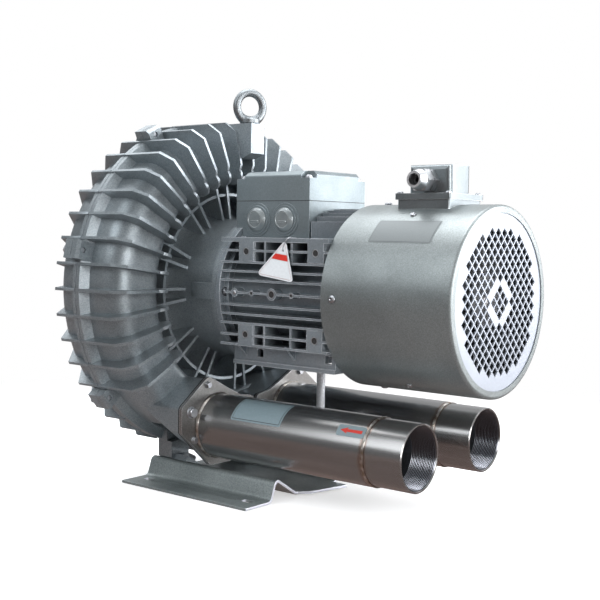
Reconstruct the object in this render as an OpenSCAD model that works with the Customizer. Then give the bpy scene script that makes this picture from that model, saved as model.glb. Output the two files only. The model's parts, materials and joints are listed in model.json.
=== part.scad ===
// Side-channel air blower: finned ring casing, flanged motor with a separately driven
// cooling fan, two silencer pipes and a pressed sheet base.
// X runs along the shaft towards the grille, Y across the two pipes, Z up.
// The origin is on the floor, in the middle of the four base slots.

/* [Ring casing] */
// Gap between the lowest fins and the floor
floor_gap = 41; // [38:1:50]
// Outer radius of the casting fins
ring_r = 246; // [243:1:252]
// Plane of the seam between the two casing halves
seam_x = -114; // [-118:1:-110]
// Depth of the front half from the seam to the fin faces
front_d = 98; // [94:1:104]
// Depth of the rear half from the seam to the fin faces
rear_d = 93; // [90:1:98]
// Height of the fins above the casing wall
fin_h = 15; // [12:1:17]
// Thickness of one casting fin
fin_t = 4; // [3:0.5:5]
// Depth of the outer edge of the rear fins
rear_edge = 42; // [38:1:46]
// Number of fins in the full circle
fin_count = 42; // [36:2:46]
// Number of clamping lugs round the seam
lug_count = 7; // [5:1:9]
// Thickness of the seam gasket
seam_gap = 1; // [0.5:0.5:2]
// Diameter of the casing bolts
casing_bolt_d = 8; // [6:1:10]

/* [Impeller] */
// Room between the impeller rim and the outside of the fins
impeller_room = 20.5; // [20.5:0.5:23]
// Width of the impeller blades
impeller_w = 36; // [32:1:38]
// Number of impeller blades
blade_count = 40; // [32:1:48]
// Thickness of one impeller blade
blade_t = 3; // [2:0.5:4]
// Gap between the impeller and the casing faces
impeller_gap = 1; // [0.5:0.5:2]

/* [Pipes] */
// Distance of each pipe axis from the middle plane
pipe_y = 82; // [80:1:84]
// Height of the pipe axes above the lowest fins
pipe_rise = 52; // [49:1:56]
// Plane of the pipe mouths
mouth_x = 348; // [330:1:370]
// Front plane of the pipe flanges
flange_x = 5; // [0:1:10]
// Outer radius of the silencer tubes
tube_r = 45.5; // [44:0.5:47]
// Wall of the silencer tubes
tube_wall = 2; // [1.5:0.5:3]
// Outer radius of the threaded sockets
socket_r = 44; // [43:0.5:46]
// Length of the threaded sockets
socket_l = 58; // [50:1:66]
// Core radius of the pipe thread in the sockets
thread_r = 39.3; // [36:0.1:41]
// Bore radius of the sound-absorbing liners
liner_r = 34; // [30:1:38]
// Thickness of the flange plates
flange_t = 5; // [4:0.5:7]
// Thickness of the flange gaskets
gasket_t = 2; // [1:0.5:3]

/* [Base] */
// Length of the base along the shaft
base_l = 244; // [236:1:256]
// Width of the base over both edges
base_w = 302; // [296:1:310]
// Thickness of the base sheet
sheet_t = 4; // [3:0.5:5]
// Height of the two pressed ridges
ridge_h = 32; // [30:1:34]
// Spacing of the mounting slots along the shaft
slot_dx = 194; // [180:1:206]
// Spacing of the mounting slots across the base
slot_dy = 238; // [236:1:246]
// Width of a mounting slot
slot_w = 12; // [10:0.5:14]
// Straight length of a mounting slot
slot_l = 6; // [3:0.5:10]
// Distance of the support rod from the middle of the base
rod_x = 128; // [122:1:132]
// Thickness of the bar that joins the two pipes
bridge_t = 6; // [4:1:8]
// Diameter of the support rod
rod_d = 12; // [10:1:14]

/* [Motor] */
// Rear plane of the motor, at its mounting flange
motor_x = 24; // [22:1:26]
// Length of the finned stator housing
housing_l = 190; // [184:1:194]
// Outer radius of the housing wall
housing_r = 92; // [90:1:94]
// Wall of the housing
housing_wall = 8; // [6:1:10]
// Height of the side fins above the housing wall
side_fin = 15; // [12:1:18]
// Height of the upright fins on the crown
crown_fin = 25; // [22:1:26]
// Thickness of one housing fin
rib_t = 3; // [2:0.5:4]
// Diameter of the motor shaft in its bearings
shaft_d = 40; // [38:1:42]
// Radial running clearance of the shaft in bearings and seal
run_gap = 0.05; // [0.03:0.01:0.08]
// Air gap between the rotor and the stator
air_gap = 1; // [0.5:0.5:2]
// Depth of the foot underside below the housing wall
foot_depth = 9; // [8:1:12]

/* [Terminal box] */
// Length of the terminal box along the shaft
box_l = 132; // [124:1:136]
// Width of the terminal box
box_w = 128; // [122:1:132]
// Middle of the terminal box along the shaft
box_x = 87; // [86:1:90]
// Height of the box seam above the housing wall
box_rise = 35; // [34:1:40]
// Height of the lid
lid_h = 41; // [36:1:46]
// Radius of the blanking plugs
plug_r = 16.5; // [15:0.5:18]

/* [Cooling cowl] */
// Back edge of the cowl
cowl_x = 219; // [216:1:221]
// Front face of the cowl
cowl_front = 410; // [400:1:420]
// Outer radius of the cowl
cowl_r = 122.5; // [121:0.5:126]
// Sheet thickness of the cowl
cowl_t = 2.5; // [1.5:0.5:3]
// Radius of the grille disc
grille_r = 112; // [108:1:114]
// Half the pitch of the grille pattern
grille_h = 7.9; // [7.6:0.1:8.2]
// Width of one square grille hole
grille_hole = 9.5; // [6:0.5:10]
// Outer radius of the axial fan
fan_r = 106; // [98:1:108]
// Number of axial fan blades
fan_blades = 7; // [5:1:9]

/* [Junction box] */
// Middle of the junction box along the shaft
junction_x = 317; // [312:1:319]
// Length of the junction box flange
junction_l = 84; // [78:1:88]
// Width of the junction box flange
junction_w = 86; // [80:1:92]
// Height of the cover above its flange
cover_h = 37; // [34:1:42]
// Width of the gland hexagons across the flats
gland_af = 27; // [24:1:28]

/* [Hidden] */
$fn = 96;
// Overlap that joins solids of one casting
joint = 1;
// Ring casing
shaft_z = ring_r + floor_gap;
impeller_r = ring_r - impeller_room;
pipe_drop = ring_r - pipe_rise;
half_gap = seam_gap / 2;
rim_r = ring_r - 2;
rim_w = 7;
wall_r = ring_r - fin_h;
cavity_r = impeller_r + 0.5;
face_u = impeller_w / 2 + impeller_gap;
web_t = 10;
web_u = face_u + web_t;
bore_r = housing_r - housing_wall;
side_y = housing_r + side_fin;
tip_r = housing_r + crown_fin;
foot_drop = housing_r + foot_depth;
mount_r = housing_r + 18;
mount_t = 10;
motor_u = motor_x - seam_x;
spigot_r = housing_r - 4;
neck_r = housing_r + 10;
cone_foot_r = neck_r + 26;
cone_wall = 9;
channel_half = 30;
channel_r = impeller_r - channel_half - 2.5;
pocket_r = channel_r - channel_half - 5;
bend_r = 34;
channel_deep = 44;
stripper = 13;
lug_top = ring_r + 12;
lug_bolt_r = ring_r + 2;
lug_w = 26;
front_lug = 14;
rear_lug = 14;
seal_r = 31;
seal_w = 9;
seal_boss_r = 40;
hub_hole = 22;
fin_step = 360 / fin_count;
smooth_half = 49;
cast_rib_r = pocket_r - 19;
eye_x = -13;
eye_pad = ring_r - 3;
eye_boss_w = 29;
eye_thread_r = 6;
eye_ring_r = 21;
eye_wire_r = 6;
eye_rise = eye_ring_r + eye_wire_r - 2;
eye_turn = 67;
eye_collar_h = 9;
// Impeller and shaft
hub_r = 42;
seat_r = 15;
nut_r = 10;
divider_t = 4;
disc_half = 5;
shaft_r = shaft_d / 2;
core_seat_r = shaft_r + 4;
bearing_r = shaft_r + 24;
bearing_w = 22;
rotor_r = 52;
core_l = 80;
core_x = motor_x + 8 + housing_l / 2 - core_l / 2;
coil_l = 24;
shield_t = 8;
housing_x = motor_x + shield_t;
housing_end = housing_x + housing_l;
rear_t = 12;
shaft_end = housing_end + rear_t - 2;
nut_l = 12;
shaft_start = seam_x - impeller_w / 2 - nut_l - 6;
// Pipes and port chambers
pipe_z = shaft_z - pipe_drop;
port_x = flange_x - flange_t - gasket_t;
port_r = 37;
// Base sheet, given as the middle line of the sheet for one side
foot_top = ridge_h;
flange_bend = 98.5;
crest_y = 88.5;
valley_y = 45;
mid_z = sheet_t / 2;
valley_z = mid_z + 3;
slope_v = [valley_y - crest_y, valley_z - foot_top];
slope_d = slope_v / norm(slope_v);
slope_n = [slope_d[1], -slope_d[0]];
foot_x = seam_x + 28;
foot_lug_l = 26;
foot_lug_t = 9;
foot_bolt_s = 25;
foot_bolt_d = 10;
tongue_x = base_l / 2 + 27;
bridge_w = 26;
// Terminal box
box_wall = 5;
box_gap = 0.4;
box_z = shaft_z + housing_r + box_rise;
box_x0 = box_x - box_l / 2;
box_floor = 72;
box_top = box_z + lid_h;
box_foot = shaft_z + housing_r - 24;
plug_x = [box_x - 26, box_x + 24];
plug_z = box_z - 26;
boss_r = plug_r + 6.5;
boss_h = 1.5;
// Cowl, fan and junction box
screw_x = cowl_x + 19;
spider_x = 312;
spider_t = 6;
spider_angle = 28;
junction_z = shaft_z + cowl_r + 5.5;
lip_t = 8;
cover_l = 64;
cover_w = 52;
gland_z = junction_z + lip_t + cover_h / 2 - 2;
gland_step = 9;
fan_motor_l = 40;
fan_hub_r = 34;
fan_x = spider_x + spider_t + fan_motor_l + 6;
fan_w = 24;
motor_foot_z = shaft_z - foot_drop;

function arc(c, rx, ry, a0, a1, n) =
    [for (i = [0 : n]) let (a = a0 + (a1 - a0) * i / n) [c[0] + rx * cos(a), c[1] + ry * sin(a)]];
function unit(v) = v / norm(v);
function left(v) = [-v[1], v[0]];
// Replaces the corner b of a path by an arc of radius r
function fillet(a, b, c, r, n = 5) =
    let (p = unit(a - b), q = unit(c - b), half = acos(p * q) / 2,
        m = b + unit(p + q) * r / sin(half), s = b + p * r / tan(half) - m,
        e = b + q * r / tan(half) - m, turn = 180 - 2 * half,
        way = (s[0] * e[1] - s[1] * e[0]) > 0 ? 1 : -1, start = atan2(s[1], s[0]))
    [for (i = [0 : n]) m + r * [cos(start + way * turn * i / n), sin(start + way * turn * i / n)]];
// Outline with every corner rounded, each point given as [x, y, radius]
function soften(pts, n = 5) =
    [for (i = [0 : len(pts) - 1])
        let (a = pts[(i + len(pts) - 1) % len(pts)], b = pts[i], c = pts[(i + 1) % len(pts)])
        each fillet([a[0], a[1]], [b[0], b[1]], [c[0], c[1]], b[2], n)];
// Open path with rounded inner corners, each point given as [x, y, radius]
function bent(pts, n = 5) =
    concat([[pts[0][0], pts[0][1]]],
        [for (i = [1 : len(pts) - 2])
            let (a = pts[i - 1], b = pts[i], c = pts[i + 1])
            each fillet([a[0], a[1]], [b[0], b[1]], [c[0], c[1]], b[2], n)],
        [[pts[len(pts) - 1][0], pts[len(pts) - 1][1]]]);
function path_normal(p, i) =
    let (a = i > 0 ? unit(p[i] - p[i - 1]) : unit(p[1] - p[0]),
        b = i < len(p) - 1 ? unit(p[i + 1] - p[i]) : a, m = unit(a + b))
    left(m) / max(0.5, m * b);
// Strip of thickness t along a path
function strip(p, t) =
    concat([for (i = [0 : len(p) - 1]) p[i] + path_normal(p, i) * t / 2],
        [for (i = [len(p) - 1 : -1 : 0]) p[i] - path_normal(p, i) * t / 2]);

// Turns a shape made along Z round the shaft, starting at plane x
module on_shaft(x = 0) {
    translate([x, 0, shaft_z]) rotate([0, 90, 0]) children();
}
// Turns a profile of [radius, distance from the seam] round the shaft
module revolve(points) {
    on_shaft(seam_x) rotate_extrude() polygon(points);
}
// Upright plate in a plane through the shaft, from a profile of [radius, distance from the seam]
module radial_plate(points, angle, t) {
    translate([seam_x, 0, shaft_z]) rotate([angle, 0, 0])
        rotate([0, 0, 90]) rotate([180, 0, 0]) translate([0, 0, -t / 2])
            linear_extrude(height = t) polygon(points);
}
// Cylinder along X at a place across the part
module rod_x_at(x, y, z, r, l) {
    translate([x, y, z]) rotate([0, 90, 0]) cylinder(r = r, h = l);
}
// Cylinder along Y
module rod_y_at(x, y, z, r, l) {
    translate([x, y, z]) rotate([-90, 0, 0]) cylinder(r = r, h = l);
}
// Outline in the YZ plane pulled along X
module pull_x(x, l, points) {
    translate([x, 0, 0]) rotate([90, 0, 90]) linear_extrude(height = l) polygon(points);
}
// Both sides of the middle plane
module both_sides() {
    children();
    mirror([0, 1, 0]) children();
}
// Hexagon head or nut, standing on the XY plane
module hexagon(af, h) {
    cylinder(r = af / sqrt(3), h = h, $fn = 6);
}

// Casting outlines, as [radius, distance from the seam]
function shell_outer(d) = concat(
    arc([wall_r - bend_r, d - 62], bend_r, bend_r, 0, 90, 6),
    arc([pocket_r + 10, d - 32], 10, 10, 70, 180, 4));
// Fin outline from its outer corners and the depth d of its inner end
function fin_outline(corners, d) = concat(
    [[wall_r - 2, half_gap], [ring_r, half_gap]], corners,
    arc([pocket_r + 10, d - 16], 14, 16, 55, 205, 7),
    [[pocket_r + 8, d - 38], [wall_r - bend_r, d - 34], [wall_r - 14, d - 44],
        [wall_r - 2, d - 62]]);
front_fin = fin_outline([[ring_r, front_d - 28], [ring_r - 14, front_d - 8],
    [pocket_r + 26, front_d]], front_d);
rear_fin = fin_outline([[ring_r, rear_edge], [ring_r - 32, rear_d - 27],
    [pocket_r + 26, rear_d - 6]], rear_d - 6);
function mirrored(points) = [for (i = [len(points) - 1 : -1 : 0]) [points[i][0], -points[i][1]]];
channel = concat([[channel_r - channel_half, face_u - 2]],
    arc([channel_r, face_u], channel_half, channel_deep, 180, 0, 12),
    [[channel_r + channel_half, face_u - 2]]);
fin_angles = [for (k = [0 : fin_count - 1]) 90 + (k + 0.5) * fin_step];
front_angles = [for (a = fin_angles) if (abs((a + 90) % 360 - 180) < 180 - smooth_half) a];
// Concave neck between the web and the motor flange, d below its surface
function neck(d) = [[cone_foot_r - d, web_u], [neck_r + 13 - d, web_u + 9], [neck_r + 6 - d, web_u + 20],
    [neck_r + 2 - d, web_u + 33], [neck_r - d, web_u + 48]];
screw_angles = [0, 45, 135, 180, 225, 315];
lug_angles = [for (k = [0 : lug_count - 1]) 270 + k * 360 / lug_count];
// Flange plate outline round the pipe axis, with the corner radii
flange_corners = [[-20, 72, 10], [-73, 32, 7], [-73, -4, 7], [-14, -57, 10], [30, -57, 10],
    [74, 0, 12], [79, 34, 6], [50, 38, 30], [28, 48, 20]];
function flange_outline(inset) = [for (p = soften(flange_corners)) p * (1 - inset / 70)];
// Flange bolts and screws round the pipe axis, each as [y, z, thread radius]
flange_holes = [[-55, 24, 4], [55, 13, 4], [-22, 60, 2.5], [-49, -16, 2.5]];

module channel_cut(side) {
    on_shaft(seam_x) rotate([0, 0, stripper])
        rotate_extrude(angle = 360 - 2 * stripper)
            polygon(side > 0 ? channel : mirrored(channel));
}
// Position on the slope of a ridge, s along it and n above its upper face
function on_slope(s, n) = [crest_y, foot_top] + slope_d * s + slope_n * (sheet_t / 2 + n);
module foot_place(s, n) {
    p = on_slope(s, n);
    translate([foot_x + foot_lug_l / 2, p[0], p[1]])
        rotate([atan2(-slope_n[0], slope_n[1]), 0, 0]) children();
}
module slot(x, y) {
    for (s = [-1, 1]) translate([x + s * slot_l / 2, y, -1]) cylinder(d = slot_w, h = sheet_t + 2, $fn = 32);
    translate([x - slot_l / 2, y - slot_w / 2, -1]) cube([slot_l, slot_w, sheet_t + 2]);
}

module base_plate() color([0.55, 0.58, 0.58]) {
    half = [[base_w / 2, mid_z, 0], [flange_bend, mid_z, 9], [crest_y, foot_top, 6],
        [valley_y, valley_z, 8]];
    far = [for (i = [3 : -1 : 0]) [-half[i][0], half[i][1], half[i][2]]];
    difference() {
        union() {
            pull_x(-base_l / 2, base_l, strip(bent(concat(half, far)), sheet_t));
            translate([0, 0, valley_z - sheet_t / 2]) linear_extrude(height = sheet_t)
                polygon([[0, -valley_y + 4], [base_l / 2, -valley_y + 4], [base_l / 2 + 12, -28],
                    [tongue_x, valley_y - 6], [tongue_x - 6, valley_y - 4], [0, valley_y - 4]]);
        }
        for (x = [-slot_dx / 2, slot_dx / 2], y = [-slot_dy / 2, slot_dy / 2]) slot(x, y);
        both_sides() foot_place(foot_bolt_s, -sheet_t - 5)
            cylinder(d = foot_bolt_d + 0.2, h = sheet_t + 10, $fn = 32);
    }
}

module port_chamber() {
    intersection() {
        pull_x(seam_x + web_u - 2, port_x - seam_x - web_u + 2,
            [for (p = flange_outline(3)) p + [-pipe_y, pipe_z]]);
        revolve([[40, 10], [wall_r - 1, 10], [wall_r - 1, front_d - 52],
            [wall_r + 20, port_x - seam_x - 14], [wall_r + 20, port_x - seam_x], [40, port_x - seam_x]]);
    }
}

module casing_foot() {
    block = [on_slope(3, 0), on_slope(45, 0), [valley_y + 3, shaft_z - wall_r + 10],
        [crest_y - 3, shaft_z - sqrt(wall_r * wall_r - crest_y * crest_y) + 6]];
    lug = [on_slope(8, 0), on_slope(42, 0), on_slope(42, foot_lug_t), on_slope(8, foot_lug_t)];
    pull_x(seam_x + half_gap, foot_x - seam_x - half_gap, block);
    pull_x(foot_x - joint, foot_lug_l + joint, lug);
}

module front_casing() color([0.66, 0.68, 0.69]) difference() {
    union() {
        revolve(concat(
            [[cavity_r, half_gap], [rim_r, half_gap], [rim_r, rim_w], [wall_r, rim_w + 6]],
            shell_outer(front_d),
            [[pocket_r, web_u]], neck(0),
            [[neck_r, motor_u - mount_t - 4], [mount_r - 2, motor_u - mount_t],
                [mount_r, motor_u - mount_t + 2], [mount_r, motor_u], [spigot_r, motor_u],
                [spigot_r, motor_u - 16], [neck_r - cone_wall, motor_u - 20]],
            [for (p = [len(neck(0)) - 1 : -1 : 0]) neck(cone_wall)[p]], [[seal_boss_r, web_u],
                [seal_boss_r, web_u + 4 + seal_w], [seal_r, web_u + 4 + seal_w],
                [seal_r, web_u + 4], [hub_hole, web_u + 4], [hub_hole, face_u],
                [cavity_r, face_u]]));
        for (a = front_angles) radial_plate(front_fin, a, fin_t);
        for (k = [0 : fin_count - 1]) if (k % 7 == 0 || k % 7 == 1 || k % 7 == 3 || k % 7 == 4)
            radial_plate(concat([[cone_foot_r - 4, web_u - 2], [pocket_r + 3, web_u - 2],
                [pocket_r + 3, front_d - 32], [cast_rib_r, front_d - 30], [neck_r + 3, front_d - 27],
                [neck_r - 4, front_d - 24]], [for (p = [len(neck(0)) - 1 : -1 : 1]) neck(4)[p]]),
                fin_angles[k], fin_t);
        revolve([[cast_rib_r - 2, web_u - 1], [cast_rib_r + 2, web_u - 1],
            [cast_rib_r + 2, front_d - 32], [cast_rib_r - 2, front_d - 32]]);
        for (a = lug_angles) radial_plate([[cavity_r + 2, half_gap], [lug_top, half_gap],
            [lug_top, front_lug - 4], [lug_top - 4, front_lug], [cavity_r + 2, front_lug]],
            a, lug_w);
        for (a = [0, 180]) radial_plate([[neck_r - 4, motor_u - 52], [neck_r + 2, motor_u - 52],
            [mount_r + 1, motor_u - 40], [mount_r + 1, motor_u], [neck_r - 4, motor_u]], a, 22);
        radial_plate([[199, eye_x - seam_x + 16], [eye_pad, eye_x - seam_x + 16],
            [eye_pad, front_d - 55], [wall_r - 8, front_d - 55], [wall_r - 30, front_d - 32],
            [192, front_d - 24], [192, front_d + 2]], 90, eye_boss_w);
        both_sides() port_chamber();
        both_sides() casing_foot();
    }
    on_shaft(seam_x - 1) cylinder(r = cavity_r, h = face_u + 1);
    channel_cut(1);
    both_sides() rod_x_at(seam_x + face_u, -pipe_y, pipe_z, port_r, port_x - seam_x - face_u + 1);
    for (a = lug_angles) rotate_on_shaft(a) translate([seam_x - 1, lug_bolt_r, 0]) rotate([0, 90, 0])
        cylinder(d = casing_bolt_d, h = front_lug + 2, $fn = 32);
    both_sides() foot_place(foot_bolt_s, -1)
        cylinder(d = foot_bolt_d + 0.2, h = foot_lug_t + 2, $fn = 32);
    both_sides() for (h = flange_holes)
        rod_x_at(port_x - 14, -pipe_y + h[0], pipe_z + h[1], h[2], 20);
    translate([eye_x, 0, shaft_z + eye_pad - 26]) cylinder(r = eye_thread_r, h = 30, $fn = 32);
    for (a = screw_angles) rotate_on_shaft(a) translate([motor_x - 13, spigot_r + 11, 0])
        rotate([0, 90, 0]) cylinder(r = 3, h = 20, $fn = 32);
}
module rotate_on_shaft(a) {
    translate([0, 0, shaft_z]) rotate([a, 0, 0]) children();
}

module rear_cover() color([0.62, 0.64, 0.65]) difference() {
    union() {
        revolve(mirrored(concat(
            [[0, face_u + 42], [54, face_u + 42], [60, web_u + 2], [pocket_r - 3, web_u + 2],
                [pocket_r - 1, rear_d - 38]],
            [for (p = [len(shell_outer(rear_d)) - 1 : -1 : 0]) shell_outer(rear_d)[p]],
            [[wall_r, rim_w + 5], [rim_r, rim_w], [rim_r, half_gap], [cavity_r, half_gap],
                [cavity_r, face_u], [0, face_u]])));
        for (a = fin_angles) if (abs(a % 360 - 270) > 2 * fin_step)
            radial_plate(mirrored(rear_fin), a, fin_t);
        for (k = [0 : 11]) radial_plate(mirrored([[50, web_u], [pocket_r + 2, web_u],
            [pocket_r + 2, rear_d - 34], [60, web_u + 14]]), k * 30, fin_t);
        for (a = lug_angles) radial_plate(mirrored([[cavity_r + 2, half_gap], [lug_top, half_gap],
            [lug_top, rear_lug], [cavity_r + 2, rear_lug]]), a, lug_w);
    }
    channel_cut(-1);
    on_shaft(seam_x - face_u - 28) cylinder(r = hub_r + 6, h = 29);
    for (a = lug_angles) rotate_on_shaft(a) translate([seam_x - 30, lug_bolt_r, 0])
        rotate([0, 90, 0]) cylinder(d = casing_bolt_d + 0.4, h = 31, $fn = 32);
}

module casing_gasket() color([0.15, 0.15, 0.16])
    revolve([[cavity_r + 0.5, -half_gap], [rim_r - 1, -half_gap], [rim_r - 1, half_gap],
        [cavity_r + 0.5, half_gap]]);

module casing_bolts() color([0.72, 0.73, 0.74])
    for (a = lug_angles) rotate_on_shaft(a)
        translate([seam_x - rear_lug - 2, lug_bolt_r, 0]) rotate([0, 90, 0]) {
            translate([0, 0, -6]) hexagon(1.6 * casing_bolt_d, 6);
            cylinder(d = casing_bolt_d, h = rear_lug + front_lug, $fn = 32);
        }

module foot_bolts() color([0.72, 0.73, 0.74])
    both_sides() {
        foot_place(foot_bolt_s, foot_lug_t) hexagon(1.7 * foot_bolt_d, 7);
        foot_place(foot_bolt_s, -sheet_t - 11)
            cylinder(d = foot_bolt_d, h = foot_lug_t + sheet_t + 12, $fn = 32);
        foot_place(foot_bolt_s, -sheet_t - 8) hexagon(1.7 * foot_bolt_d, 8);
    }

module shaft_seal() color([0.12, 0.12, 0.12])
    on_shaft(seam_x + web_u + 4) difference() {
        cylinder(r = seal_r, h = seal_w);
        translate([0, 0, -1]) cylinder(r = shaft_r + run_gap, h = seal_w + 2);
    }

// Pipe pieces, drawn for the inlet side and mirrored for the outlet
module at_pipe(x) {
    translate([x, -pipe_y, pipe_z]) rotate([90, 0, 90]) children();
}
module pipe_plate(x, t, hole_r) {
    at_pipe(x) difference() {
        linear_extrude(height = t) polygon(flange_outline(0));
        translate([0, 0, -1]) cylinder(r = hole_r, h = t + 2);
        for (h = flange_holes) translate([h[0], h[1], -1])
            cylinder(r = h[2] + 0.2, h = t + 2, $fn = 32);
    }
}
module pipe_ring(x, l, r_out, r_in) {
    at_pipe(x) difference() {
        cylinder(r = r_out, h = l);
        translate([0, 0, -1]) cylinder(r = r_in, h = l + 2);
    }
}
module pipe_bolts() {
    for (h = flange_holes) at_pipe(flange_x) translate([h[0], h[1], 0]) {
        cylinder(r = 2.1 * h[2], h = 1.5, $fn = 32);
        translate([0, 0, 1.5]) hexagon(3.25 * h[2], 1.4 * h[2]);
        translate([0, 0, -flange_t - gasket_t - 12])
            cylinder(r = h[2], h = flange_t + gasket_t + 13, $fn = 32);
    }
}
tube_x = flange_x - flange_t;
tube_l = mouth_x - socket_l - tube_x;
module inlet_flange() color([0.72, 0.71, 0.69]) pipe_plate(tube_x, flange_t, tube_r);
module inlet_gasket() color([0.16, 0.16, 0.17]) pipe_plate(port_x, gasket_t, port_r);
module inlet_tube() color([0.6, 0.58, 0.56]) pipe_ring(tube_x, tube_l, tube_r, tube_r - tube_wall);
module inlet_socket() color([0.64, 0.6, 0.57]) pipe_ring(mouth_x - socket_l, socket_l, socket_r, thread_r);
module inlet_liner() color([0.2, 0.2, 0.21])
    pipe_ring(tube_x, tube_l, tube_r - tube_wall, liner_r);
module inlet_bolts() color([0.75, 0.76, 0.77]) pipe_bolts();
module outlet_flange() color([0.72, 0.71, 0.69]) mirror([0, 1, 0]) pipe_plate(tube_x, flange_t, tube_r);
module outlet_gasket() color([0.16, 0.16, 0.17]) mirror([0, 1, 0]) pipe_plate(port_x, gasket_t, port_r);
module outlet_tube() color([0.6, 0.58, 0.56])
    mirror([0, 1, 0]) pipe_ring(tube_x, tube_l, tube_r, tube_r - tube_wall);
module outlet_socket() color([0.64, 0.6, 0.57])
    mirror([0, 1, 0]) pipe_ring(mouth_x - socket_l, socket_l, socket_r, thread_r);
module outlet_liner() color([0.2, 0.2, 0.21])
    mirror([0, 1, 0]) pipe_ring(tube_x, tube_l, tube_r - tube_wall, liner_r);
module outlet_bolts() color([0.75, 0.76, 0.77]) mirror([0, 1, 0]) pipe_bolts();

module drive_shield() color([0.5, 0.52, 0.53]) difference() {
    on_shaft(0) rotate_extrude() polygon([[shaft_r + 4, motor_x], [spigot_r, motor_x],
        [mount_r, motor_x], [mount_r, housing_x], [bore_r, housing_x],
        [bearing_r + 10, housing_x], [bearing_r + 10, motor_x + 4 + bearing_w],
        [bearing_r, motor_x + 4 + bearing_w], [bearing_r, motor_x + 4], [shaft_r + 4, motor_x + 4]]);
    for (a = screw_angles) rotate_on_shaft(a) translate([motor_x - 1, spigot_r + 11, 0])
        rotate([0, 90, 0]) {
            cylinder(r = 3.2, h = shield_t + 2, $fn = 32);
            translate([0, 0, shield_t - 3]) cylinder(r = 6, h = 6, $fn = 32);
        }
}
module flange_screws() color([0.7, 0.71, 0.72])
    for (a = screw_angles) rotate_on_shaft(a) translate([motor_x - 12, spigot_r + 11, 0])
        rotate([0, 90, 0]) {
            cylinder(r = 3, h = shield_t + 8, $fn = 32);
            translate([0, 0, shield_t + 8]) cylinder(r = 5.5, h = 3.5, $fn = 32);
        }

side_levels = [17, 29.5, 42, 58];
crown_step = 12.6;
crown_count = 5;
pad_x = [box_x - 9, box_x + 111];
pad_z = housing_r - 35;
pad_half = 13;
ledge_z = pad_z + pad_half;
ledge_t = 6;
foot_x0 = housing_x + 8;
cowl_gap = 0.5;
foot_x1 = cowl_x - 2 * cowl_gap;
foot_wall_y = side_y - 21;
module rib_at(z, x0, x1, t) {
    translate([x0, -side_y, shaft_z + z - t / 2]) cube([x1 - x0, 2 * side_y, t]);
}
module crown_fins(x0, x1, side, reach) {
    for (k = [-crown_count : crown_count]) {
        y = k * crown_step;
        tip = min(reach, sqrt(tip_r * tip_r - y * y));
        z = sqrt(housing_r * housing_r - y * y) - 2;
        translate([x0, y - rib_t / 2, shaft_z + (side > 0 ? z : -tip)]) cube([x1 - x0, rib_t, tip - z]);
    }
}
module side_pads() {
    for (x = pad_x, s = [-1, 1]) difference() {
        translate([x - pad_half, -side_y, shaft_z + s * pad_z - pad_half])
            cube([2 * pad_half, side_y - bore_r + 14, 2 * pad_half]);
        rod_y_at(x, -side_y - 1, shaft_z + s * pad_z, 4, 12);
    }
    for (x = [box_x + 5, box_x + 24, box_x + 70], s = [-1, 1])
        translate([x - 1.5, -side_y + 1, shaft_z + s * pad_z - pad_half - 1])
            cube([3, side_y - bore_r + 14, 2 * pad_half + 2]);
    for (b = [[box_x - 30, 6], [box_x + 1, 4], [box_x + 37, 8], [box_x + 71, 4]]) difference() {
        rod_y_at(b[0], -side_y, shaft_z, b[1], side_y - bore_r + 4);
        rod_y_at(b[0], -side_y - 1, shaft_z, b[1] / 2, 10);
    }
}
module motor_foot() {
    difference() {
        union() {
            translate([foot_x0, -foot_wall_y, motor_foot_z])
                cube([foot_x1 - foot_x0, 8, foot_drop - ledge_z]);
            translate([foot_x0, -foot_wall_y - 2.5, motor_foot_z]) cube([foot_x1 - foot_x0, 34, 5.5]);
        }
        for (x = [box_x + 1, box_x + 119])
            translate([x - 5.5, -side_y, motor_foot_z + 12]) cube([11, 60, 11]);
        for (x = [foot_x0 + 24, foot_x1 - 24])
            translate([x, -foot_wall_y + 20, motor_foot_z - 1]) cylinder(r = 6, h = 12, $fn = 32);
    }
    for (x = [box_x - 27, box_x + 60]) translate([x, 0, 0]) rotate([90, 0, 90])
        linear_extrude(height = 3) polygon([[-foot_wall_y + 1, shaft_z - ledge_z + 1],
            [-side_y + 1, shaft_z - ledge_z + 1], [-foot_wall_y - 1, motor_foot_z + 13],
            [-foot_wall_y + 1, motor_foot_z + 13]]);
}
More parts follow.
